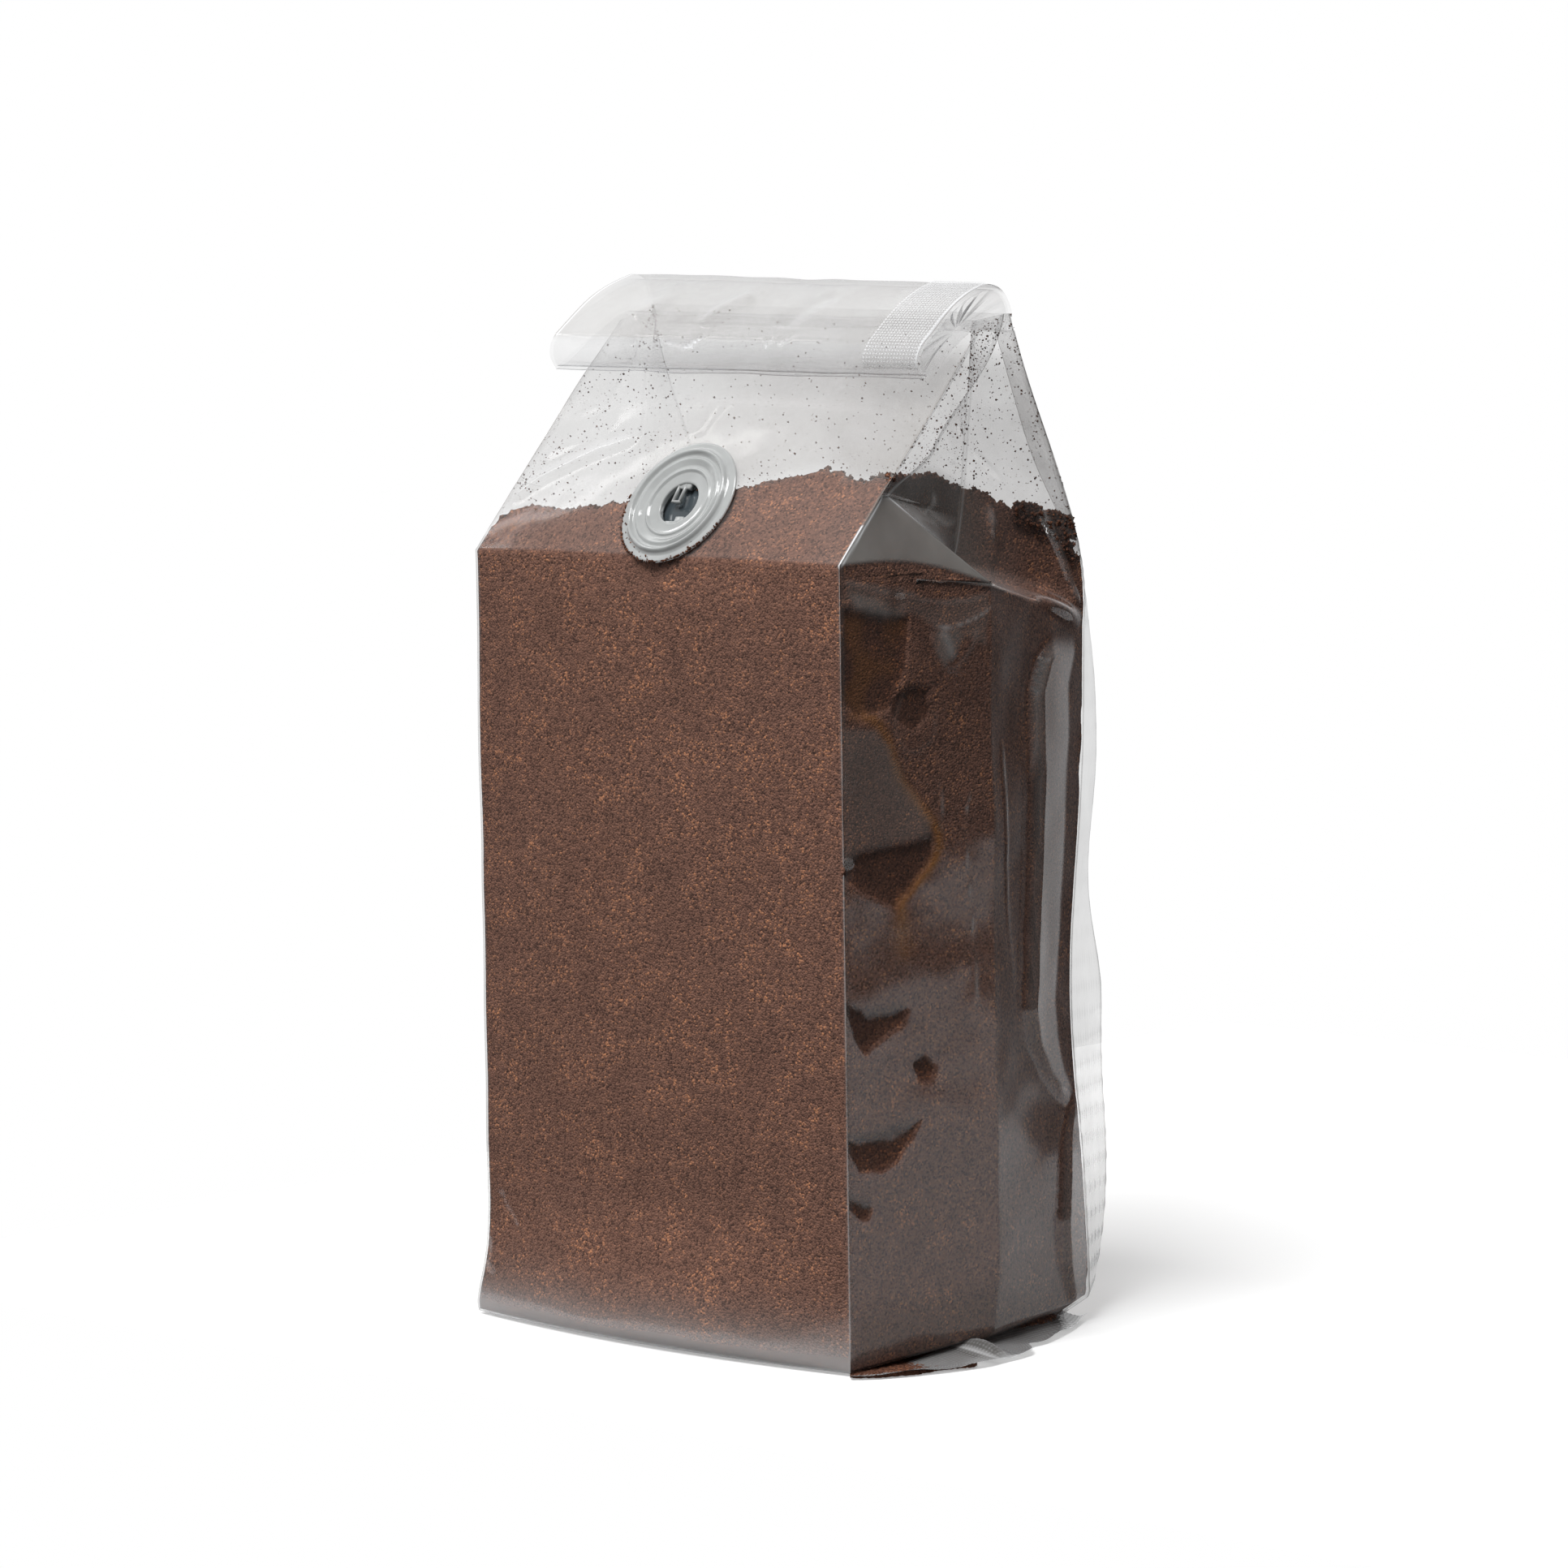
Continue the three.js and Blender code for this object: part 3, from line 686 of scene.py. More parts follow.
whole = slice(0, row_count)
body = slice(0, shoulder_row)
slope = slice(shoulder_row, row_count)
edge_highlight_rows = 16  # rows of the front right edge that shine most
paint_crease_shade_and_highlight(front_right, body, 0.1, 0.1)
paint_crease_shade_and_highlight(front_right, slope, 0.35, 0.6)
paint_crease_shade_and_highlight(front_left, whole, 0.3, 0.2)
paint_crease_shade_and_highlight(crease_right, body, 0.1, 0.06)
paint_crease_shade_and_highlight(crease_left, body, 0.1, 0.06)
paint_crease_shade_and_highlight(fold_right, slice(shoulder_row, facet_end), 0.2, 1.0, 0.3, 0.5)
paint_crease_shade_and_highlight(fold_right, slice(facet_end, row_count), 0.35, 0.6)
paint_crease_shade_and_highlight(fold_left, slope, 0.0, 0.08)
paint_crease_shade_and_highlight(crease_right, slope, 0.18, 0.3)
paint_crease_shade_and_highlight(crease_left, slope, 0.0, 0.08)
paint_crease_shade_and_highlight(back_right, whole, 0.4, 0.5)
paint_crease_shade_and_highlight(back_left, whole, 0.1, 0.1)
# A painted highlight along the front right edge, brightest just above the shoulder
film_whitening_and_highlights[:shoulder_row, front_right] = 0.4
film_whitening_and_highlights[shoulder_row : shoulder_row + edge_highlight_rows, front_right] = 1.0
film_whitening_and_highlights[shoulder_row : shoulder_row + edge_highlight_rows, front_right - 1] = 0.6
film_whitening_and_highlights = np.clip(film_whitening_and_highlights, 0, 1)

film_points = np.concatenate([film.reshape(-1, 3), [film[0].mean(axis=0)]])
film_faces = grid_faces(row_count, column_count, closed=True)
in_hole = valve_distance.ravel() < cup_radius - 0.6
film_faces = [face for face in film_faces if not in_hole[face].all()]
film_faces += fan(0, column_count, row_count * column_count, facing_down=True)
film_marks = {
    "haze": [*film_dust_and_painted_light.ravel(), 0.02],
    "fold": [*film_whitening_and_highlights.ravel(), 0.0],
    "lean": [*film_lean.ravel(), 0.0],
}
film_bag = make_piece("film_bag", film_points, film_faces, clear_film, film_marks)

# The sheet's folds are creases: their edges aren't shaded smooth
film_edges = np.empty(len(film_bag.data.edges) * 2, int)
film_bag.data.edges.foreach_get("vertices", film_edges)
edge_columns = film_edges.reshape(-1, 2) % column_count
on_crease = (edge_columns[:, 0] == edge_columns[:, 1]) & np.isin(edge_columns[:, 0], corner_columns)
film_bag.data.edges.foreach_set("use_edge_sharp", on_crease)

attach(film_bag, "root")
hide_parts("bag")

# The ground coffee: fine grounds that fill the bag out to its film, packed by their own weight.
# Against the film they lie flat, with pockets where the film stands off. Their top is a loose
# heap with a crumbly edge.
film_gap = 0.35
wall_rows = 190
heap_rows = 46
heap_sink = 2.4  # the heap's middle lies this much lower than its edge against the film
heap_middle = np.array([2.0, 27.0])
grain_size = 0.34
# Loose grains are darkened with the colour of the pockets' painted shade.
dark_tone = 0.9  # how dark loose grains are, as in a pocket
rng = random.Random(31)
grain_noise = np.random.default_rng(31)


def coffee_material():
    """Roasted grounds: dark, brown and a few orange grains, with coarser patches between fine ones, and
    painted shade in the pockets.
    """
    material, nodes, shader = new_material("ground coffee")
    cells = nodes.tree.nodes.new("ShaderNodeTexVoronoi")
    nodes.feed(cells, {"Vector": nodes.place(), "Scale": 1000 / grain_size, "Randomness": 1.0})
    pick = nodes.add("SeparateColor", {0: cells.outputs["Color"]})
    patch = nodes.noise(160.0, 5.0, 0.7)
    varied = nodes.math("MULTIPLY", nodes.math("SUBTRACT", pick, 0.5), nodes.scaled(patch, 0.7, 0.2))
    tone = nodes.math("ADD", varied, nodes.scaled(patch, 0.35, 0.325), clamp=True)
    stops = [(0.16, grain_dark), (0.4, grain_brown), (0.7, grain_light), (0.84, grain_orange)]
    # Painted shade: grounds in the pockets are darkened by the pocket shade colour, with a ragged edge
    ragged = nodes.scaled(nodes.noise(700.0, 4.0, 0.7), 0.5, -0.25)
    depth_shown = nodes.math("ADD", nodes.mark("pocket"), ragged)
    edge = nodes.add("MapRange", {"Value": depth_shown, "From Min": 0.5, "From Max": 0.62})
    pocket_shaded_colour = nodes.blend(edge, nodes.ramp(tone, stops), painted_pocket_shade, "MULTIPLY")
    height = {"Height": cells.outputs["Distance"], "Distance": 0.00025, "Strength": 0.7}
    nodes.feed(shader, {
        "Base Color": nodes.blend(nodes.mark("amber"), pocket_shaded_colour, amber_colour),
        "Roughness": 0.82,
        "Specular IOR Level": 0.2,
        "Normal": nodes.add("Bump", height, "Normal", invert=True),
    })
    return material


grain_dark = (0.046, 0.025, 0.02, 1.0)
grain_brown = (0.178, 0.09, 0.065, 1.0)
grain_light = (0.258, 0.131, 0.092, 1.0)
grain_orange = (0.56, 0.25, 0.13, 1.0)
painted_pocket_shade = (0.62, 0.55, 0.50, 1.0)
amber_colour = (0.36, 0.15, 0.04, 1.0)
ground_coffee = coffee_material()

coffee_skin = film - film_out * (film_gap + rolled * grip)[..., None]
# The coffee stands off the film a little in the pockets, and in shallow hollows on the other sides
pocket_hollow = 0.6 * smooth(pocket_field, 0.45, 0.6)
other_sides = (film_x < half) & (film_y > 4.0)
other_hollow = 0.4 * smooth(gentle(film, 17.0, 40.0), 0.16, 0.3) * other_sides
coffee_skin = coffee_skin - film_out * np.maximum(pocket_hollow, other_hollow)[..., None]
coffee_skin, _ = behind_valve(coffee_skin, cup_radius + 0.3, -4.4)
coffee_skin[..., 2] = np.maximum(coffee_skin[..., 2], film_gap)

# Oil has soaked a thin amber line of grounds, from the first pocket down to below the third
amber_path = curve(on_side([(0.5, 108), (6, 107), (9.5, 103), (11.5, 97), (17.5, 89.5), (19, 86), (17.5, 82),
                            (13, 78), (11.5, 75.5), (12, 69)]))
amber_distance, amber_share = near_path(coffee_skin, amber_path)
amber_end = smooth(amber_share, 0.8, 1.0)
amber_mark = bump(amber_distance, 0, lerp(0.8, 2.0, amber_end)) * lerp(0.95, 0.4, amber_end)
amber_mark *= smooth(amber_share, 0, 0.1)
red_patch = smooth(inside(film, pockets[0]), -0.5, 1.5) * on_right
amber_mark = np.maximum(amber_mark, 0.3 * red_patch * smooth(gentle(film, 5.0, 12.0), -0.2, 0.4))

wall = []
wall_marks = []
for column in range(column_count):
    line = coffee_skin[:, column]
    over = line[:, 2] - heap_height(line[:, 0], line[:, 1])
    edge = noise.noise((line.mean(axis=0) / 2.4).tolist()) * 0.9
    edge += noise.noise(Vector((column * 0.31, 7.0, 2.0))) * 0.5 + rng.uniform(-0.25, 0.25)
    cut = int(np.argmax(over > edge))
    share = (edge - over[cut - 1]) / (over[cut] - over[cut - 1])
    stops = np.linspace(0, cut - 1 + share, wall_rows)
    at = np.arange(len(line))
    wall.append(np.stack([np.interp(stops, at, line[:, axis]) for axis in range(3)], axis=-1))
    marks = (pocket_field[:, column], amber_mark[:, column])
    wall_marks.append(np.stack([np.interp(stops, at, mark) for mark in marks], axis=-1))
wall = np.swapaxes(np.array(wall), 0, 1)
wall_marks = np.swapaxes(np.array(wall_marks), 0, 1)
rim = wall[-1]
cap = []
for i in range(1, heap_rows):
    inward = (i / heap_rows) ** 1.15
    ring = rim.copy()
    ring[:, :2] = lerp(rim[:, :2], heap_middle, inward)
    lumps = [noise.noise((x * 0.4, y * 0.4, 5.0)) + 0.6 * noise.noise((x, y, 1.0)) for x, y, _ in ring]
    sunk = heap_sink * smooth(inward, 0.0, 0.3)
    target = heap_height(ring[:, 0], ring[:, 1]) + 0.6 * np.array(lumps) - sunk
    ring[:, 2] = lerp(rim[:, 2] - 0.2 * inward, target, smooth(inward, 0.0, 0.12))
    cap.append(ring)
coffee = np.concatenate([wall, cap])
coffee_out = grid_normals(coffee, closed=True)
roughness = np.where(np.arange(len(coffee)) < wall_rows - 1, 0.012, 0.2)[:, None]
coffee = coffee + coffee_out * (roughness * grain_noise.normal(size=coffee.shape[:2]))[..., None]
coffee[..., 2] = np.maximum(coffee[..., 2], film_gap)
coffee_rows = len(coffee)
middle_point = [*heap_middle, heap_height(*heap_middle)]
floor_point = [*coffee[0, :, :2].mean(axis=0), film_gap]
coffee_points = np.concatenate([coffee.reshape(-1, 3), [middle_point, floor_point]])
coffee_faces = grid_faces(coffee_rows, column_count, closed=True)
coffee_faces += fan((coffee_rows - 1) * column_count, column_count, len(coffee_points) - 2, facing_down=False)
coffee_faces += fan(0, column_count, len(coffee_points) - 1, facing_down=True)
cap_marks = np.zeros((coffee_rows - wall_rows, column_count, 2))
all_marks = np.concatenate([wall_marks, cap_marks]).reshape(-1, 2)
coffee_marks = {name: [*all_marks[:, i], 0, 0] for i, name in enumerate(("pocket", "amber"))}
coffee_filling = make_piece("coffee_filling", coffee_points, coffee_faces, ground_coffee, coffee_marks)
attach(coffee_filling, "root")
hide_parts("bag")

# The rolled top: the flattened neck goes over a ridge, down the front and back under itself, so
# its right end shows the sheets inside the roll. Its lower face is pinched where it was pressed.
cuff_foot = (43.2, 168.8)
cuff_bend = (20.6, 167.8)
cuff_lip = (20.4, 161.6)
cuff_root = (35.0, 170.6)
cuff_columns = 200


def quad_curve(start, control, end, count):
    t = np.linspace(0, 1, count)[1:, None]
    a, b, c = (np.array(p, float) for p in (start, control, end))
    return (1 - t) ** 2 * a + 2 * t * (1 - t) * b + t * t * c


def resampled(points, step):
    """The same line with points at even distances."""
    points = np.array(points, float)
    lengths = np.concatenate([[0], np.cumsum(np.linalg.norm(np.diff(points, axis=0), axis=1))])
    at = np.linspace(0, lengths[-1], max(2, int(lengths[-1] / step)))
    return np.stack([np.interp(at, lengths, points[:, i]) for i in range(points.shape[1])], axis=-1)


def cuff_section(inset):
    """The roll's outer sheet in depth and height, moved in by a distance."""
    foot_y, foot_z = cuff_foot
    bend_y, bend_z = cuff_bend
    lip_y, lip_z = cuff_lip
    ridge = (ridge_back, ridge_height - inset)
    start = (foot_y - inset, foot_z)
    line = [start, (foot_y - inset, foot_z + 3.6)]
    line += list(quad_curve(line[-1], (ridge_back + 4.6 - inset, ridge_height - inset), ridge, 12))
    above_bend = (bend_y + 3.8 + 0.4 * inset, bend_z + 3 - inset)
    line += list(quad_curve(ridge, (ridge_back - 7.1, ridge_height - 1.7 - inset), above_bend, 16))
    bend = (bend_y + inset, bend_z - 0.3 * inset)
    line.append(bend)
    knee = (lip_y - 1.1 + inset, lip_z + 1.6)
    line += list(quad_curve(bend, (lip_y - 2.2 + inset, bend_z - 2.6), knee, 8))
    return [*line, (lip_y + 0.4 * inset, lip_z + 0.6 * inset)]


def swept(section, x):
    """A sheet with the same section all the way across."""
    grid = np.empty((len(section), len(x), 3))
    grid[..., 0] = x
    grid[..., 1:] = section[:, None]
    return grid


def waved(grid, amount, scale, seed):
    return grid + grid_normals(grid, closed=False) * (amount * gentle(grid, scale, seed))[..., None]


cuff_folds = [
    # pinches in the cuff's front face, as path, width, height and whitening; the whitening is a painted
    # highlight on each pinch
    ([(-12.6, 19.4, 164.6), (-10.6, 19.6, 166.2), (-7, 20.4, 168.2)], 0.5, 0.8, 1.0),
    ([(-11, 19.5, 166.6), (-8.2, 19.5, 165.6), (-7.4, 19.5, 163.9)], 0.4, 0.6, 0.8),
    ([(-16, 19.6, 166.9), (-13, 19.6, 166.3), (-10.5, 19.6, 166.4)], 0.6, 0.5, 0.5),
    ([(6.2, 19.4, 164.8), (7.6, 19.6, 166.2), (8.2, 20.6, 168.1)], 0.35, 0.6, 0.9),
    ([(10.2, 19.6, 166.8), (11.6, 20.2, 168), (13, 21.5, 169.3)], 0.6, 0.7, 0.9),
    ([(-39, 19.3, 166.6), (-30, 19.4, 166.1), (-22, 19.5, 166.7)], 0.9, 0.4, 0.18),
    # the pressed lines along its lower edge
    ([(-42, 19.6, 163.2), (-30, 19.8, 162.6), (-19, 19.6, 163.4), (-8, 19.9, 162.7), (4, 19.6, 163.3),
      (18, 19.8, 162.8), (42, 19.6, 163.2)], 0.5, 0.35, 0.3),
    ([(-20, 19.4, 164), (-5.7, 19.5, 164.6), (5, 19.4, 164.3), (18.6, 19.5, 163.9), (28, 19.5, 164.3)],
     0.5, 0.3, 0.18),
    # soft dents in its sloping top
    ([(-4, 30, 174.5), (-8, 26, 172), (-10, 22.5, 169.5)], 2.2, -0.6, 0.0),
    ([(14, 32, 175.2), (10, 27, 172.6), (9, 22.5, 169.6)], 2.2, 0.5, 0.03),
    ([(-26, 33, 175.6), (-24, 28, 173.2), (-28, 24, 171)], 2.6, -0.5, 0.0),
]


def joined(parts):
    """Several sets of points and faces as one."""
    faces = []
    start = 0
    for part_points, part_faces in parts:
        faces += [[start + i for i in face] for face in part_faces]
        start += len(part_points)
    return np.concatenate([p for p, _ in parts]), faces


cuff_material = film_material("rolled film", 0.0002, dust_and_sheen_colour)
section_step = 0.5
lining_step = 0.8
cuff_x = half * np.sin(math.pi / 2 * np.linspace(-1, 1, cuff_columns))
outer_tail = [(cuff_lip[0] + 3.1, cuff_lip[1] + 1.3), (28, 166.4), cuff_root]
outer = swept(resampled([*cuff_section(0.0), *outer_tail], section_step), cuff_x)
pinched, outer_fold = pressed_folds(outer, cuff_folds, 0.12)
outer = waved(outer + grid_normals(outer, closed=False) * pinched[..., None], 0.25, 9.0, 5.0)
lining_tail = [(24.5, 164.6), (31, 168.4), (37, 171.2), (40, 169.2)]
lining = waved(swept(resampled([*cuff_section(0.8), *lining_tail], lining_step), cuff_x), 0.2, 8.0, 15.0)

# The roll's right end: the gusset's film is pleated in it, in a fan from the lip and from the ridge.
fan_rows = 24
end_line = resampled([p for p in cuff_section(0.9) if p[1] > cuff_lip[1] + 0.3], section_step)
end_share = np.linspace(0, 1, len(end_line))
end_middle = np.array([31.5, 169.5])
pleat_share = np.linspace(0, 1, fan_rows)[:, None]
pleat = 0.5 * np.sin(end_share * 55) + 0.35 * np.sin(end_share * 131 + 1.0)
pleats = np.empty((fan_rows, len(end_line), 3))
pleats[..., 0] = half - 0.4 - 1.6 * np.sin(0.5 * math.pi * pleat_share)
pleats[..., 0] += pleat * np.sin(math.pi * pleat_share)
pleats[..., 1:] = lerp(end_line, end_middle, 0.9 * pleat_share[..., None])
pleat_line = bump(np.mod(end_share * 9.5, 1), 0.5, 0.035) * np.sin(math.pi * pleat_share)

cut_end = bump(np.abs(outer[..., 0]), half, 0.25)
end_haze = cut_end * np.where(outer[..., 0] > 0, 0.5, 0.45)
end_line_white = bump(np.abs(outer[..., 0]), half - 0.5, 0.2)
along_cuff = np.arange(len(outer))[:, None] * section_step
seen_front = smooth(along_cuff, 7.0, 9.0) * (1 - smooth(along_cuff, 31.0, 32.5))
none = np.zeros(lining.shape[:2])
marks = {
    "haze": [0.05 + seen_front * (0.3 + end_haze), none + 0.01, 0.06 + 0.45 * pleat_line],
    "fold": [outer_fold + 0.6 * end_line_white * seen_front, none, 0 * pleat_line],
}
sheets = [skewed(sheet) for sheet in (outer, lining, pleats)]
cuff_points, cuff_faces = joined([(s.reshape(-1, 3), grid_faces(*s.shape[:2], False)) for s in sheets])
cuff_marks = {name: np.concatenate([mark.ravel() for mark in parts]) for name, parts in marks.items()}
rolled_cuff = make_piece("rolled_cuff", cuff_points, cuff_faces, cuff_material, cuff_marks)
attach(rolled_cuff, "root")
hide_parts("bag")

# The pressed seal: the fin seal lies flat over the cuff's right end. The sealing jaws left slanting
# rows of fine dots in it, which catch the light; these glints are also painted, as white on the dots, and its
# edges are whitened.
fin_width = 11.0
seal_raise = 0.35
dot_pitch = 0.66
dot_height = 0.13
dot_step = 0.165


def dotted(grid, across_at, along_at, height):
    """Rows of small dots pressed out of a sheet, every other row moved by half a dot."""
    a = across_at / dot_pitch
    b = along_at / dot_pitch
    dots = np.clip(np.sin(math.pi * (a + b)) * np.sin(math.pi * (a - b)), 0, 1) ** 1.5
    return grid + grid_normals(grid, closed=False) * (height * dots)[..., None], dots


def make_sheet(name, grid, material, marks):
    """A piece that is one open sheet."""
    return make_piece(name, grid.reshape(-1, 3), grid_faces(*grid.shape[:2], False), material, marks)


seal_line = [p for p in cuff_section(-seal_raise) if p[0] <= ridge_back and p[1] >= cuff_lip[1] + 0.4]
seal_x = np.arange(half - fin_width - 1, half, dot_step)
seal = swept(resampled(seal_line, dot_step), seal_x)
along_seal = np.arange(len(seal))[:, None] * dot_step
seal, seal_dots = dotted(seal, seal_x, along_seal, dot_height)
seal = skewed(seal)
seal_edge = 0.2 * bump(seal_x, half - fin_width - 1, 0.3) + bump(seal_x, half, 0.35)
seal_marks = {"haze": np.full(seal.shape[:2], 0.1), "fold": 0.12 + 0.8 * seal_dots + 0.9 * seal_edge}
pressed_seal = make_sheet("pressed_seal", seal, cuff_material, seal_marks)
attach(pressed_seal, "root")
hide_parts("bag")

# The fin seal: the bag's two sheets welded together in a fin that stands off the back right edge
# all the way up and waves a little. Its weld has fine dots, deepest near the foot.
fin_end = 0.95
fin_rows = 300
fin_columns = 30


def fin_angle(height):
    """Degrees from the bag's right towards its back."""
    folded = lerp(120, 150, smooth(height, 106, 150))
    wave = bump(height, 54, 33 if height < 54 else 14)
    return folded - 16 * wave + 10 * bump(height, 0, 9)


edge = [body_corners(share)[2] for share in lerp(0.004, 0.98, np.linspace(0, 1, 40) ** 1.2)]
edge += [back_edge(fin_end * share) for share in np.linspace(0, 1, 20)]
fin = []
for root in resampled(edge, 172 / fin_rows):
    angle = math.radians(fin_angle(root[2]))
    outward = vec(math.cos(angle), math.sin(angle), 0)
    reach = np.linspace(-0.3, fin_width, fin_columns)
    ripple = 0.25 * math.sin(root[2] / 5.5) * (reach / fin_width) ** 2
    beside = vec(-outward[1], outward[0], 0)
    fin.append(root + np.outer(reach, outward) + np.outer(ripple, beside))
fin = skewed(fin)
fin_up = fin[..., 2]
fin_across = np.linspace(0, fin_width, fin_columns) + 0 * fin_up
fin_depth = 0.12 * (1 - smooth(fin_up, 25, 70)) + 0.03
fin_pressed, fin_dots = dotted(fin, fin_across, fin_up, 1.0)
fin = lerp(fin, fin_pressed, fin_depth[..., None])
fin_edge = bump(fin_across, fin_width, 0.3) + 0.6 * bump(fin_across, 0, 0.4)
fin_marks = {
    "haze": 0.24 + 0.5 * fin_edge + 0.14 * (1 - smooth(fin_up, 15, 60)),
    "fold": 3.0 * fin_dots * fin_depth,
}
fin_material = film_material("welded film", 0.0002, dust_and_sheen_colour)
fin_seal = make_sheet("fin_seal", fin, fin_material, fin_marks)
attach(fin_seal, "root")
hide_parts("bag")

# The base seal's flap: the end of the welded base, left loose under the right side. It lies on the
# surface with a curled edge and has the same rows of dots.
flap_outer = [(44.2, -1.9), (48.5, 3.5), (51.4, 10), (53.7, 17), (54.4, 20.5), (54.2, 24), (53.5, 32),
              (49.6, 36.2), (48.9, 42), (45.3, 52), (40.8, 61)]
flap_inner = [(40.5, 2), (42, 6), (43, 12), (43.5, 18), (43.5, 22), (43.5, 26), (43.5, 32),
              (43, 38), (42.5, 44), (41, 51), (38, 57.5)]
flap_rows = 200
flap_columns = 60
outer_line, inner_line = (curve([(*p, 0) for p in line], flap_rows) for line in (flap_outer, flap_inner))
flap_out = outer_line - inner_line
flap_share = np.linspace(0, 1, flap_columns)
flap = inner_line[:, None] + flap_out[:, None] * flap_share[:, None]
flap_y = flap[..., 1]
curl = 2.1 * bump(flap_y, 25.5, 2.2) * np.sin(math.pi * np.clip(flap_share, 0.02, 1)) ** 0.8
tuck = 1.6 * (1 - flap_share) ** 1.5 * smooth(flap_y, 8, 26)
upturn = 0.9 * flap_share**4 * (0.4 + 0.6 * np.sin(flap_y / 4.2) ** 2)
flap[..., 2] = 0.15 + curl + tuck + upturn
flap, flap_dots = dotted(flap, flap_share * np.linalg.norm(flap_out, axis=1)[:, None], flap_y, 0.1)
flap_rim = bump(flap_share, 1.0, 0.03)
# Painted highlights in two lines along the curl
flap_curl_highlights = 0.2 * bump(flap_y, 23.3, 0.4) + 0.12 * bump(flap_y, 28, 0.4)
flap_marks = {
    "haze": 0.78 + 0.2 * flap_rim + 0 * flap_y,
    "fold": 0.12 * flap_dots + 0.35 * flap_rim + flap_curl_highlights,
}
# The flap's film is a dark grey-brown all over.
flap_grey = (0.085, 0.08, 0.073, 1.0)
flap_material = film_material("dark welded film", 0.0002, flap_grey)
base_flap = make_sheet("base_flap", flap, flap_material, flap_marks)
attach(base_flap, "root")
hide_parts("bag")

# Grounds caught in the folded base: a thin layer of loose coffee, which leaked between the flap and
# the bag's underside and lies there, deepest against the bag. There it also fills the gap under the
# side's lower edge as a dark sheet that stands for that gap's shade, and it takes the pockets' painted shade.
caught_columns = 30
caught_reach = lerp(0.93, 0.42, smooth(outer_line[:, 1], 17, 25))
caught_reach += 0.12 * gentle(outer_line[:, None], 5.0, 60.0)[:, 0]
caught_share = np.linspace(-0.4, 1, caught_columns) * caught_reach[:, None]
caught_thick = np.linspace(1, 0, caught_columns)


def loose_marks(points):
    return {"pocket": np.full(points.shape[:-1], dark_tone), "amber": np.zeros(points.shape[:-1])}


caught = inner_line[:, None] + flap_out[:, None] * caught_share[..., None]
caught[..., 2] = 0.1 + caught_thick * (0.5 + 2.2 * smooth(caught[..., 1], 15, 50))
caught = caught + 0.06 * grain_noise.normal(size=caught.shape)
caught[..., 2] = np.maximum(caught[..., 2], 0.06)
caught_coffee = make_sheet("caught_coffee", caught, ground_coffee, loose_marks(caught))
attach(caught_coffee, "root")
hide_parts("bag")

# The degassing valve: a milky plastic body welded to the film, with a ring round a dished middle
# and a stepped opening. Behind it, in a shallow cup, an oiled rubber disc lets gas out only.
flange_thick = 0.55
ring_radius = 9.2
ring_height = 1.45
dish_radius = 6.6
aperture_radius = 4.3
cup_wall = 1.2
cup_depth = 4.1
disc_thick = 1.3
valve_gap = 0.3
turns = 144


def on_valve(right, up, out):
    """Points given across, up and out of the valve."""
    parts = zip((right, up, out), (valve_right, valve_up, valve_out))
    return valve_middle + sum(np.asarray(amount)[..., None] * axis for amount, axis in parts)


def turned(profile, closed_profile):
    """A turned shape from a profile of radius and height."""
    angle = np.linspace(0, 2 * math.pi, turns, endpoint=False)
    radius, height = np.array(profile).T[..., None]
    grid = on_valve(radius * np.cos(angle), radius * np.sin(angle), height + 0 * angle)
    faces = grid_faces(*grid.shape[:2], closed=True)
    if closed_profile:
        last = (len(profile) - 1) * turns
        faces += [(last + i, last + (i + 1) % turns, (i + 1) % turns, i) for i in range(turns)]
    return grid.reshape(-1, 3), faces


def rounded_profile(points, reach=0.12):
    """Each corner of a profile replaced by a small round."""
    made = []
    count = len(points)
    for i, corner in enumerate(points):
        corner = np.array(corner, float)
        for other in (points[i - 1], points[(i + 1) % count]):
            line = np.array(other, float) - corner
            length = np.linalg.norm(line)
            made.append(corner + line / length * min(reach, 0.4 * length))
        made.insert(-1, (made[-1] + made[-2]) / 4 + corner / 2)
    return made


def plastic_material(name, colour, rough, alpha, patch_scale):
    """Milky moulded plastic, a little see-through, with faint clouds in it."""
    material, nodes, shader = new_material(name)
    clouds = nodes.noise(patch_scale, 4.0)
    darker, lighter = ([min(1.0, share * c) for c in colour] + [1.0] for share in (0.86, 1.08))
    height = {"Height": nodes.noise(900.0, 2.0), "Distance": 0.00004}
    nodes.feed(shader, {
        "Base Color": nodes.ramp(clouds, [(0.3, darker), (0.7, lighter)]),
        "Alpha": alpha,
        "Specular IOR Level": 1.0,
        "Coat Weight": 1.0,
        "Coat Roughness": 0.03,
        "Coat IOR": 2.1,
        "Roughness": nodes.scaled(clouds, 0.15, rough),
        "Normal": nodes.add("Bump", height, "Normal"),
    })
    return material


valve_colour = (0.57, 0.585, 0.58)
rubber_colour = (0.06, 0.075, 0.085)
milky_plastic = plastic_material("milky plastic", valve_colour, 0.02, 0.84, 120.0)
oiled_rubber = plastic_material("oiled rubber", rubber_colour, 0.05, 1.0, 200.0)

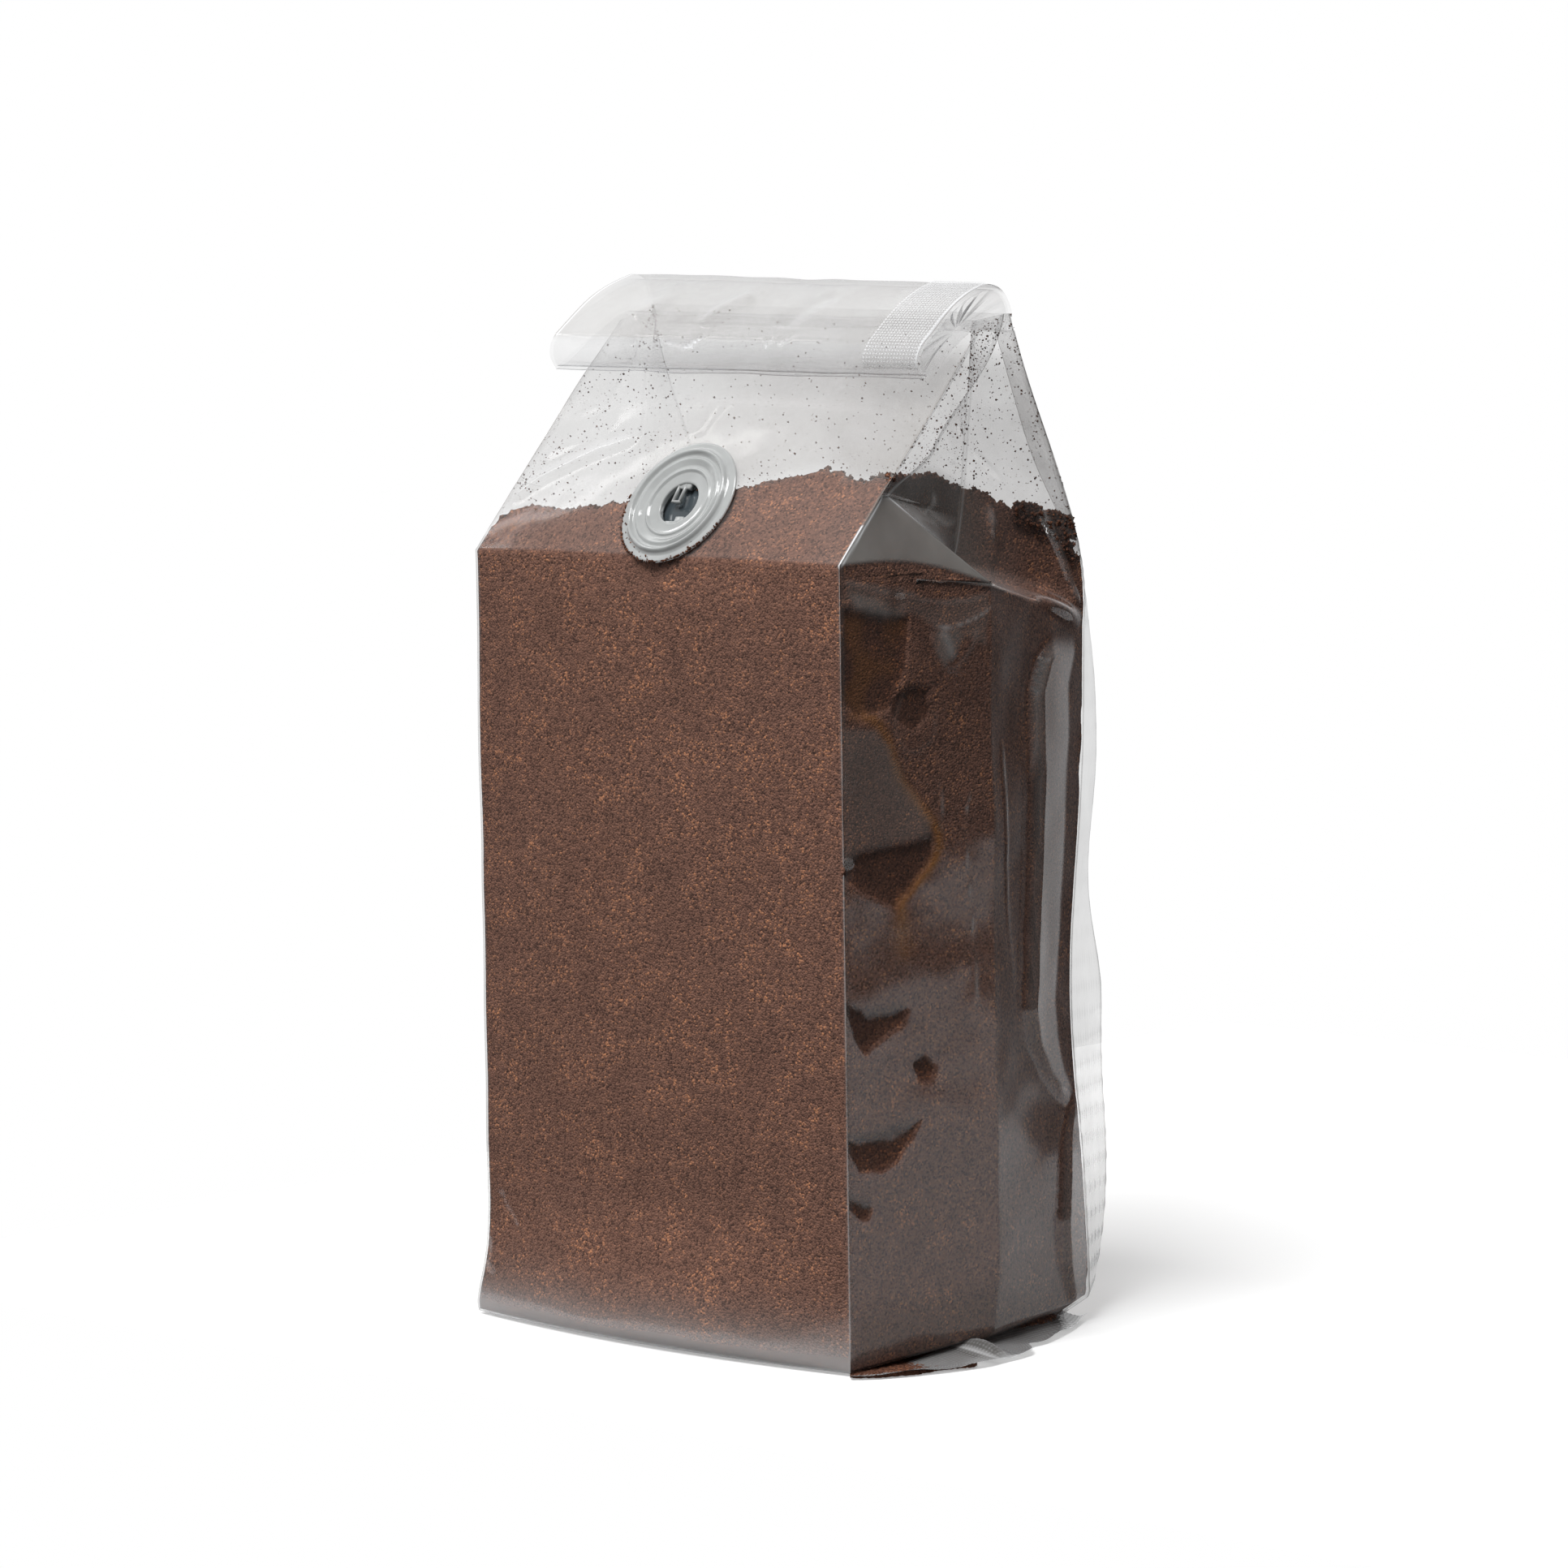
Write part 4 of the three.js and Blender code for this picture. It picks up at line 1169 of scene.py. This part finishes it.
cup_floor = -cup_depth + cup_wall
valve_profile = [
    (aperture_radius - 0.4, 0.1), (aperture_radius - 0.4, -0.8), (cup_radius - cup_wall, -0.8),
    (cup_radius - cup_wall, cup_floor), (1.2, cup_floor), (1.2, -cup_depth), (cup_radius, -cup_depth),
    (cup_radius, 0), (flange_radius, 0), (flange_radius, 0.3), (flange_radius - 0.3, 0.5),
    (ring_radius + 1.35, 0.45), (ring_radius + 0.95, 0.75), (ring_radius + 0.75, 1.2),
    (ring_radius + 0.5, ring_height), (ring_radius + 0.2, 1.3), (ring_radius - 0.1, 0.75),
    (ring_radius - 0.5, 0.6), (ring_radius - 0.75, 0.95), (ring_radius - 1.0, 1.1),
    (ring_radius - 1.3, 0.95), (dish_radius + 0.6, 0.45), (dish_radius + 0.1, 0.42),
    (dish_radius - 0.1, 0.7), (dish_radius - 0.35, 0.72), (dish_radius - 0.7, 0.3),
    (aperture_radius + 0.3, 0.22), (aperture_radius - 0.2, 0.25),
]
body_points, body_faces = turned(rounded_profile(valve_profile), closed_profile=True)


def block(right, up, out):
    """A small bevelled block, given by its lowest and highest value each way."""
    bevel = 0.15
    layers = []
    for height, inset in ((out[0], 0), (out[1] - bevel, 0), (out[1], bevel)):
        x = (right[0] + inset, right[1] - inset)
        y = (up[0] + inset, up[1] - inset)
        layers.append(on_valve([x[0], x[1], x[1], x[0]], [y[0], y[0], y[1], y[1]], [height] * 4))
    faces = grid_faces(3, 4, closed=True) + [(3, 2, 1, 0), (8, 9, 10, 11)]
    return np.concatenate(layers), faces


# The tabs and bridges in the opening: from and to, across, up and out of the valve
tabs = [
    ((0.3, 2.1), (-4.2, -2.4), (-0.8, -0.1)),
    ((-2.4, 0.2), (-4.3, -3.2), (-0.8, -0.3)),
    ((-2.15, -1.8), (0.3, 3.7), (-0.8, 0.1)),
    ((-0.7, -0.35), (0.5, 3.9), (-0.8, 0.1)),
    ((-2.15, -0.35), (0.2, 0.6), (-0.8, 0.1)),
    ((-2.15, 0.6), (3.0, 4.1), (-0.8, -0.1)),
]
shell_points, shell_faces = joined([(body_points, body_faces), *(block(*tab) for tab in tabs)])
valve_shell = make_piece("valve_shell", shell_points, shell_faces, milky_plastic)
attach(valve_shell, "root")
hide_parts("valve_body")

disc_radius = cup_radius - cup_wall - valve_gap
disc_bottom = cup_floor + valve_gap
disc_top = disc_bottom + disc_thick
disc_profile = [(0.01, disc_bottom), (disc_radius, disc_bottom), (disc_radius, disc_top - 0.3),
                (disc_radius - 0.3, disc_top), (2.2, disc_top - 0.2), (0.9, disc_top - 0.25),
                (0.5, disc_top - 0.25), (0.01, disc_top - 0.2)]
disc_points, disc_faces = turned(disc_profile, closed_profile=False)
valve_rubber = make_piece("valve_rubber", disc_points, disc_faces, oiled_rubber)
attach(valve_rubber, "root")
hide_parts("valve_disc")

# Loose coffee: crumbs along the heap's edge, clumps caught in the gusset's fold at the back right,
# and fine dust that clings to the inside of the film and to the valve's flange.
crumb_count = 1500
crumb_size = (0.22, 0.62)
clump_count = 1500
clump_size = (0.25, 0.6)
clump_front = 46.0
clump_run = 12.0
dust_count = 2600
dust_least = 0.08
dust_range = 0.18
flange_dust = 240
flange_dust_size = (0.1, 0.28)
flange_dust_arc = (math.radians(175), math.radians(345))


def grain(centre, radius):
    """One grain: an eight-sided lump, turned and stretched at random."""
    corners = np.array([(1, 0, 0), (-1, 0, 0), (0, 1, 0), (0, -1, 0), (0, 0, 1), (0, 0, -1)], float)
    corners = corners * grain_noise.uniform(0.6, 1.25, (6, 1))
    spin, _ = np.linalg.qr(grain_noise.normal(size=(3, 3)))
    faces = [(0, 2, 4), (2, 1, 4), (1, 3, 4), (3, 0, 4), (2, 0, 5), (1, 2, 5), (3, 1, 5), (0, 3, 5)]
    if np.linalg.det(spin) < 0:
        faces = [face[::-1] for face in faces]
    return centre + radius * corners @ spin.T, faces


crumbs = []
for _ in range(crumb_count):
    column = rng.randrange(column_count)
    inward = abs(rng.gauss(0, 0.05))
    place = lerp(rim[column], vec(*heap_middle, rim[column][2]), inward)
    place[2] += rng.uniform(-0.4, 0.45) - 4 * inward
    place -= film_out[shoulder_row + 14, column] * 0.35
    crumbs.append(grain(place, rng.uniform(*crumb_size)))
clumps = 0
while clumps < clump_count:
    row = rng.randrange(shoulder_row, shoulder_row + 60)
    column = rng.randrange(crease_right + 12, back_right - 1)
    y, z = film[row, column, 1:]
    height = above_heap[row, column]
    along = (y - clump_front) / clump_run
    if not 0 < along < 1 or height > 4.5 * along + 1.2 or height < -2:
        continue
    if noise.noise((y / 2.2, z / 2.2, 4.0)) < -0.18 - 0.1 * height:
        continue
    place = film[row, column] - film_out[row, column] * rng.uniform(0.35, 0.9)
    place = place + np.array([rng.gauss(0, 0.15) for _ in range(3)])
    crumbs.append(grain(place, rng.uniform(*clump_size)))
    clumps += 1
crumb_points, crumb_faces = joined(crumbs)
crumb_marks = loose_marks(crumb_points)
coffee_crumbs = make_piece("coffee_crumbs", crumb_points, crumb_faces, ground_coffee, crumb_marks)
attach(coffee_crumbs, "root")
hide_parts("bag")

dust = []
while len(dust) < dust_count:
    row = rng.randrange(shoulder_row, row_count)
    column = rng.randrange(column_count)
    height = above_heap[row, column]
    if height < 0.5 or rng.random() > 0.35 + 0.65 * math.exp(-height / 6) + 0.3 * (column > front_right):
        continue
    place = lerp(film[row, column], film[row - 1, (column + 1) % column_count], rng.random())
    size = dust_least + dust_range * rng.random() ** 2.6
    dust.append(grain(place - film_out[row, column] * 0.15, size))
for _ in range(flange_dust):
    angle = rng.uniform(*flange_dust_arc)
    cover = 0.9 * noise.noise((angle * 7, 3.0, 1.0)) + 0.5 * noise.noise((angle * 19, 1.0, 5.0))
    reach = flange_radius + 0.1 - rng.uniform(0, 1) * (0.2 + max(0.0, cover))
    if rng.random() < 0.22:
        reach = flange_radius - abs(rng.gauss(0, 1.3))
    out = min(flange_thick, 0.3 + 0.3 * rng.random())
    spot = on_valve(reach * math.cos(angle), reach * math.sin(angle), out)
    dust.append(grain(spot, rng.uniform(*flange_dust_size)))
dust_points, dust_faces = joined(dust)
dust_marks = loose_marks(dust_points)
coffee_dust = make_piece("coffee_dust", dust_points, dust_faces, ground_coffee, dust_marks)
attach(coffee_dust, "root")
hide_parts("bag")

# The setting: a white table in front of a white backdrop, lit by a large soft lamp ahead of the
# front panel and above it. The room is dark to the right, so the bag's side stays dark.
floor_left = 0.17
floor_ahead = 0.08
floor_behind = 0.5
floor_back = 0.32
floor_drop = 0.0002
floor_glow = 0.34
floor_white = (0.76, 0.76, 0.76, 1.0)
pure_white = (1.0, 1.0, 1.0, 1.0)
room_dark = 0.07
room_bright = 0.95
ceiling_bright = 0.2
backdrop_towards = (-0.69, 0.72, 0.0)

floor_mesh = bpy.data.meshes.new("floor")
floor_x = (-floor_left, floor_behind)
floor_y = (-floor_ahead, floor_back)
corners = [(floor_x[i], floor_y[j], -floor_drop) for i, j in ((0, 0), (1, 0), (1, 1), (0, 1))]
floor_mesh.from_pydata(corners, [], [(0, 1, 2, 3)])
floor = bpy.data.objects.new("floor", floor_mesh)
bpy.context.collection.objects.link(floor)
table_top, nodes, shader = new_material("white table")
nodes.feed(shader, {
    "Base Color": floor_white,
    "Roughness": 0.9,
    "Emission Color": pure_white,
    "Emission Strength": floor_glow,
})
floor_mesh.materials.append(table_top)
floor.visible_diffuse = False

world = bpy.data.worlds.new("studio")
bpy.context.scene.world = world
world.use_nodes = True
world.node_tree.nodes.clear()
nodes = NodeTree(world.node_tree)
direction = nodes.add("TexCoord", output="Generated")
facing = nodes.add("VectorMath", {0: direction, 1: backdrop_towards}, "Value", operation="DOT_PRODUCT")
brightness = {"From Min": 0.38, "From Max": 0.72, "To Min": room_dark, "To Max": room_bright}
backdrop = nodes.add("MapRange", {"Value": facing, **brightness}, interpolation_type="SMOOTHSTEP")
skyward = nodes.add("SeparateXYZ", {0: direction}, "Z")
brightness = {"From Min": 0.35, "From Max": 0.75, "To Max": ceiling_bright}
ceiling = nodes.add("MapRange", {"Value": skyward, **brightness})
room = nodes.add("Background", {"Strength": nodes.math("ADD", backdrop, ceiling)})
white_backdrop = nodes.add("Background", {"Strength": 1.0, "Color": pure_white})
from_camera = nodes.add("LightPath", output="Is Camera Ray")
surroundings = nodes.add("MixShader", {"Fac": from_camera, 1: room, 2: white_backdrop})
nodes.feed(world.node_tree.nodes.new("ShaderNodeOutputWorld"), {"Surface": surroundings})

# Lamps: place, size, power, and what doesn't show their light: mirroring or matt surfaces
lamps = {
    "key lamp": ((0.33, -1.55, 2.54), (1.6, 1.6), 100.0, "visible_glossy"),
    "fill lamp": ((-1.7, -2.2, 1.0), (1.6, 1.6), 16.0, "visible_glossy"),
    "left window": ((-0.89, -0.12, 0.925), (0.06, 0.35), 0.25, "visible_diffuse"),
    "right window": ((0.74, 0.28, 0.99), (0.3, 0.3), 0.4, "visible_diffuse"),
    "ceiling lamp": ((0.4, -0.15, 1.25), (0.5, 0.5), 2.8, "visible_diffuse"),
}
lamp_aim = Vector((0.0, 0.0, 0.09))
for name, (place, size, power, unseen_by) in lamps.items():
    lamp = bpy.data.lights.new(name, "AREA")
    lamp.shape = "RECTANGLE"
    lamp.size, lamp.size_y = size
    lamp.energy = power
    holder = bpy.data.objects.new(name, lamp)
    holder.location = place
    holder.rotation_euler = (lamp_aim - Vector(place)).to_track_quat("-Z", "Y").to_euler()
    bpy.context.collection.objects.link(holder)
    setattr(holder, unseen_by, False)

bpy.context.scene.view_settings.view_transform = "Standard"
bpy.context.scene.cycles.transparent_max_bounces = 32
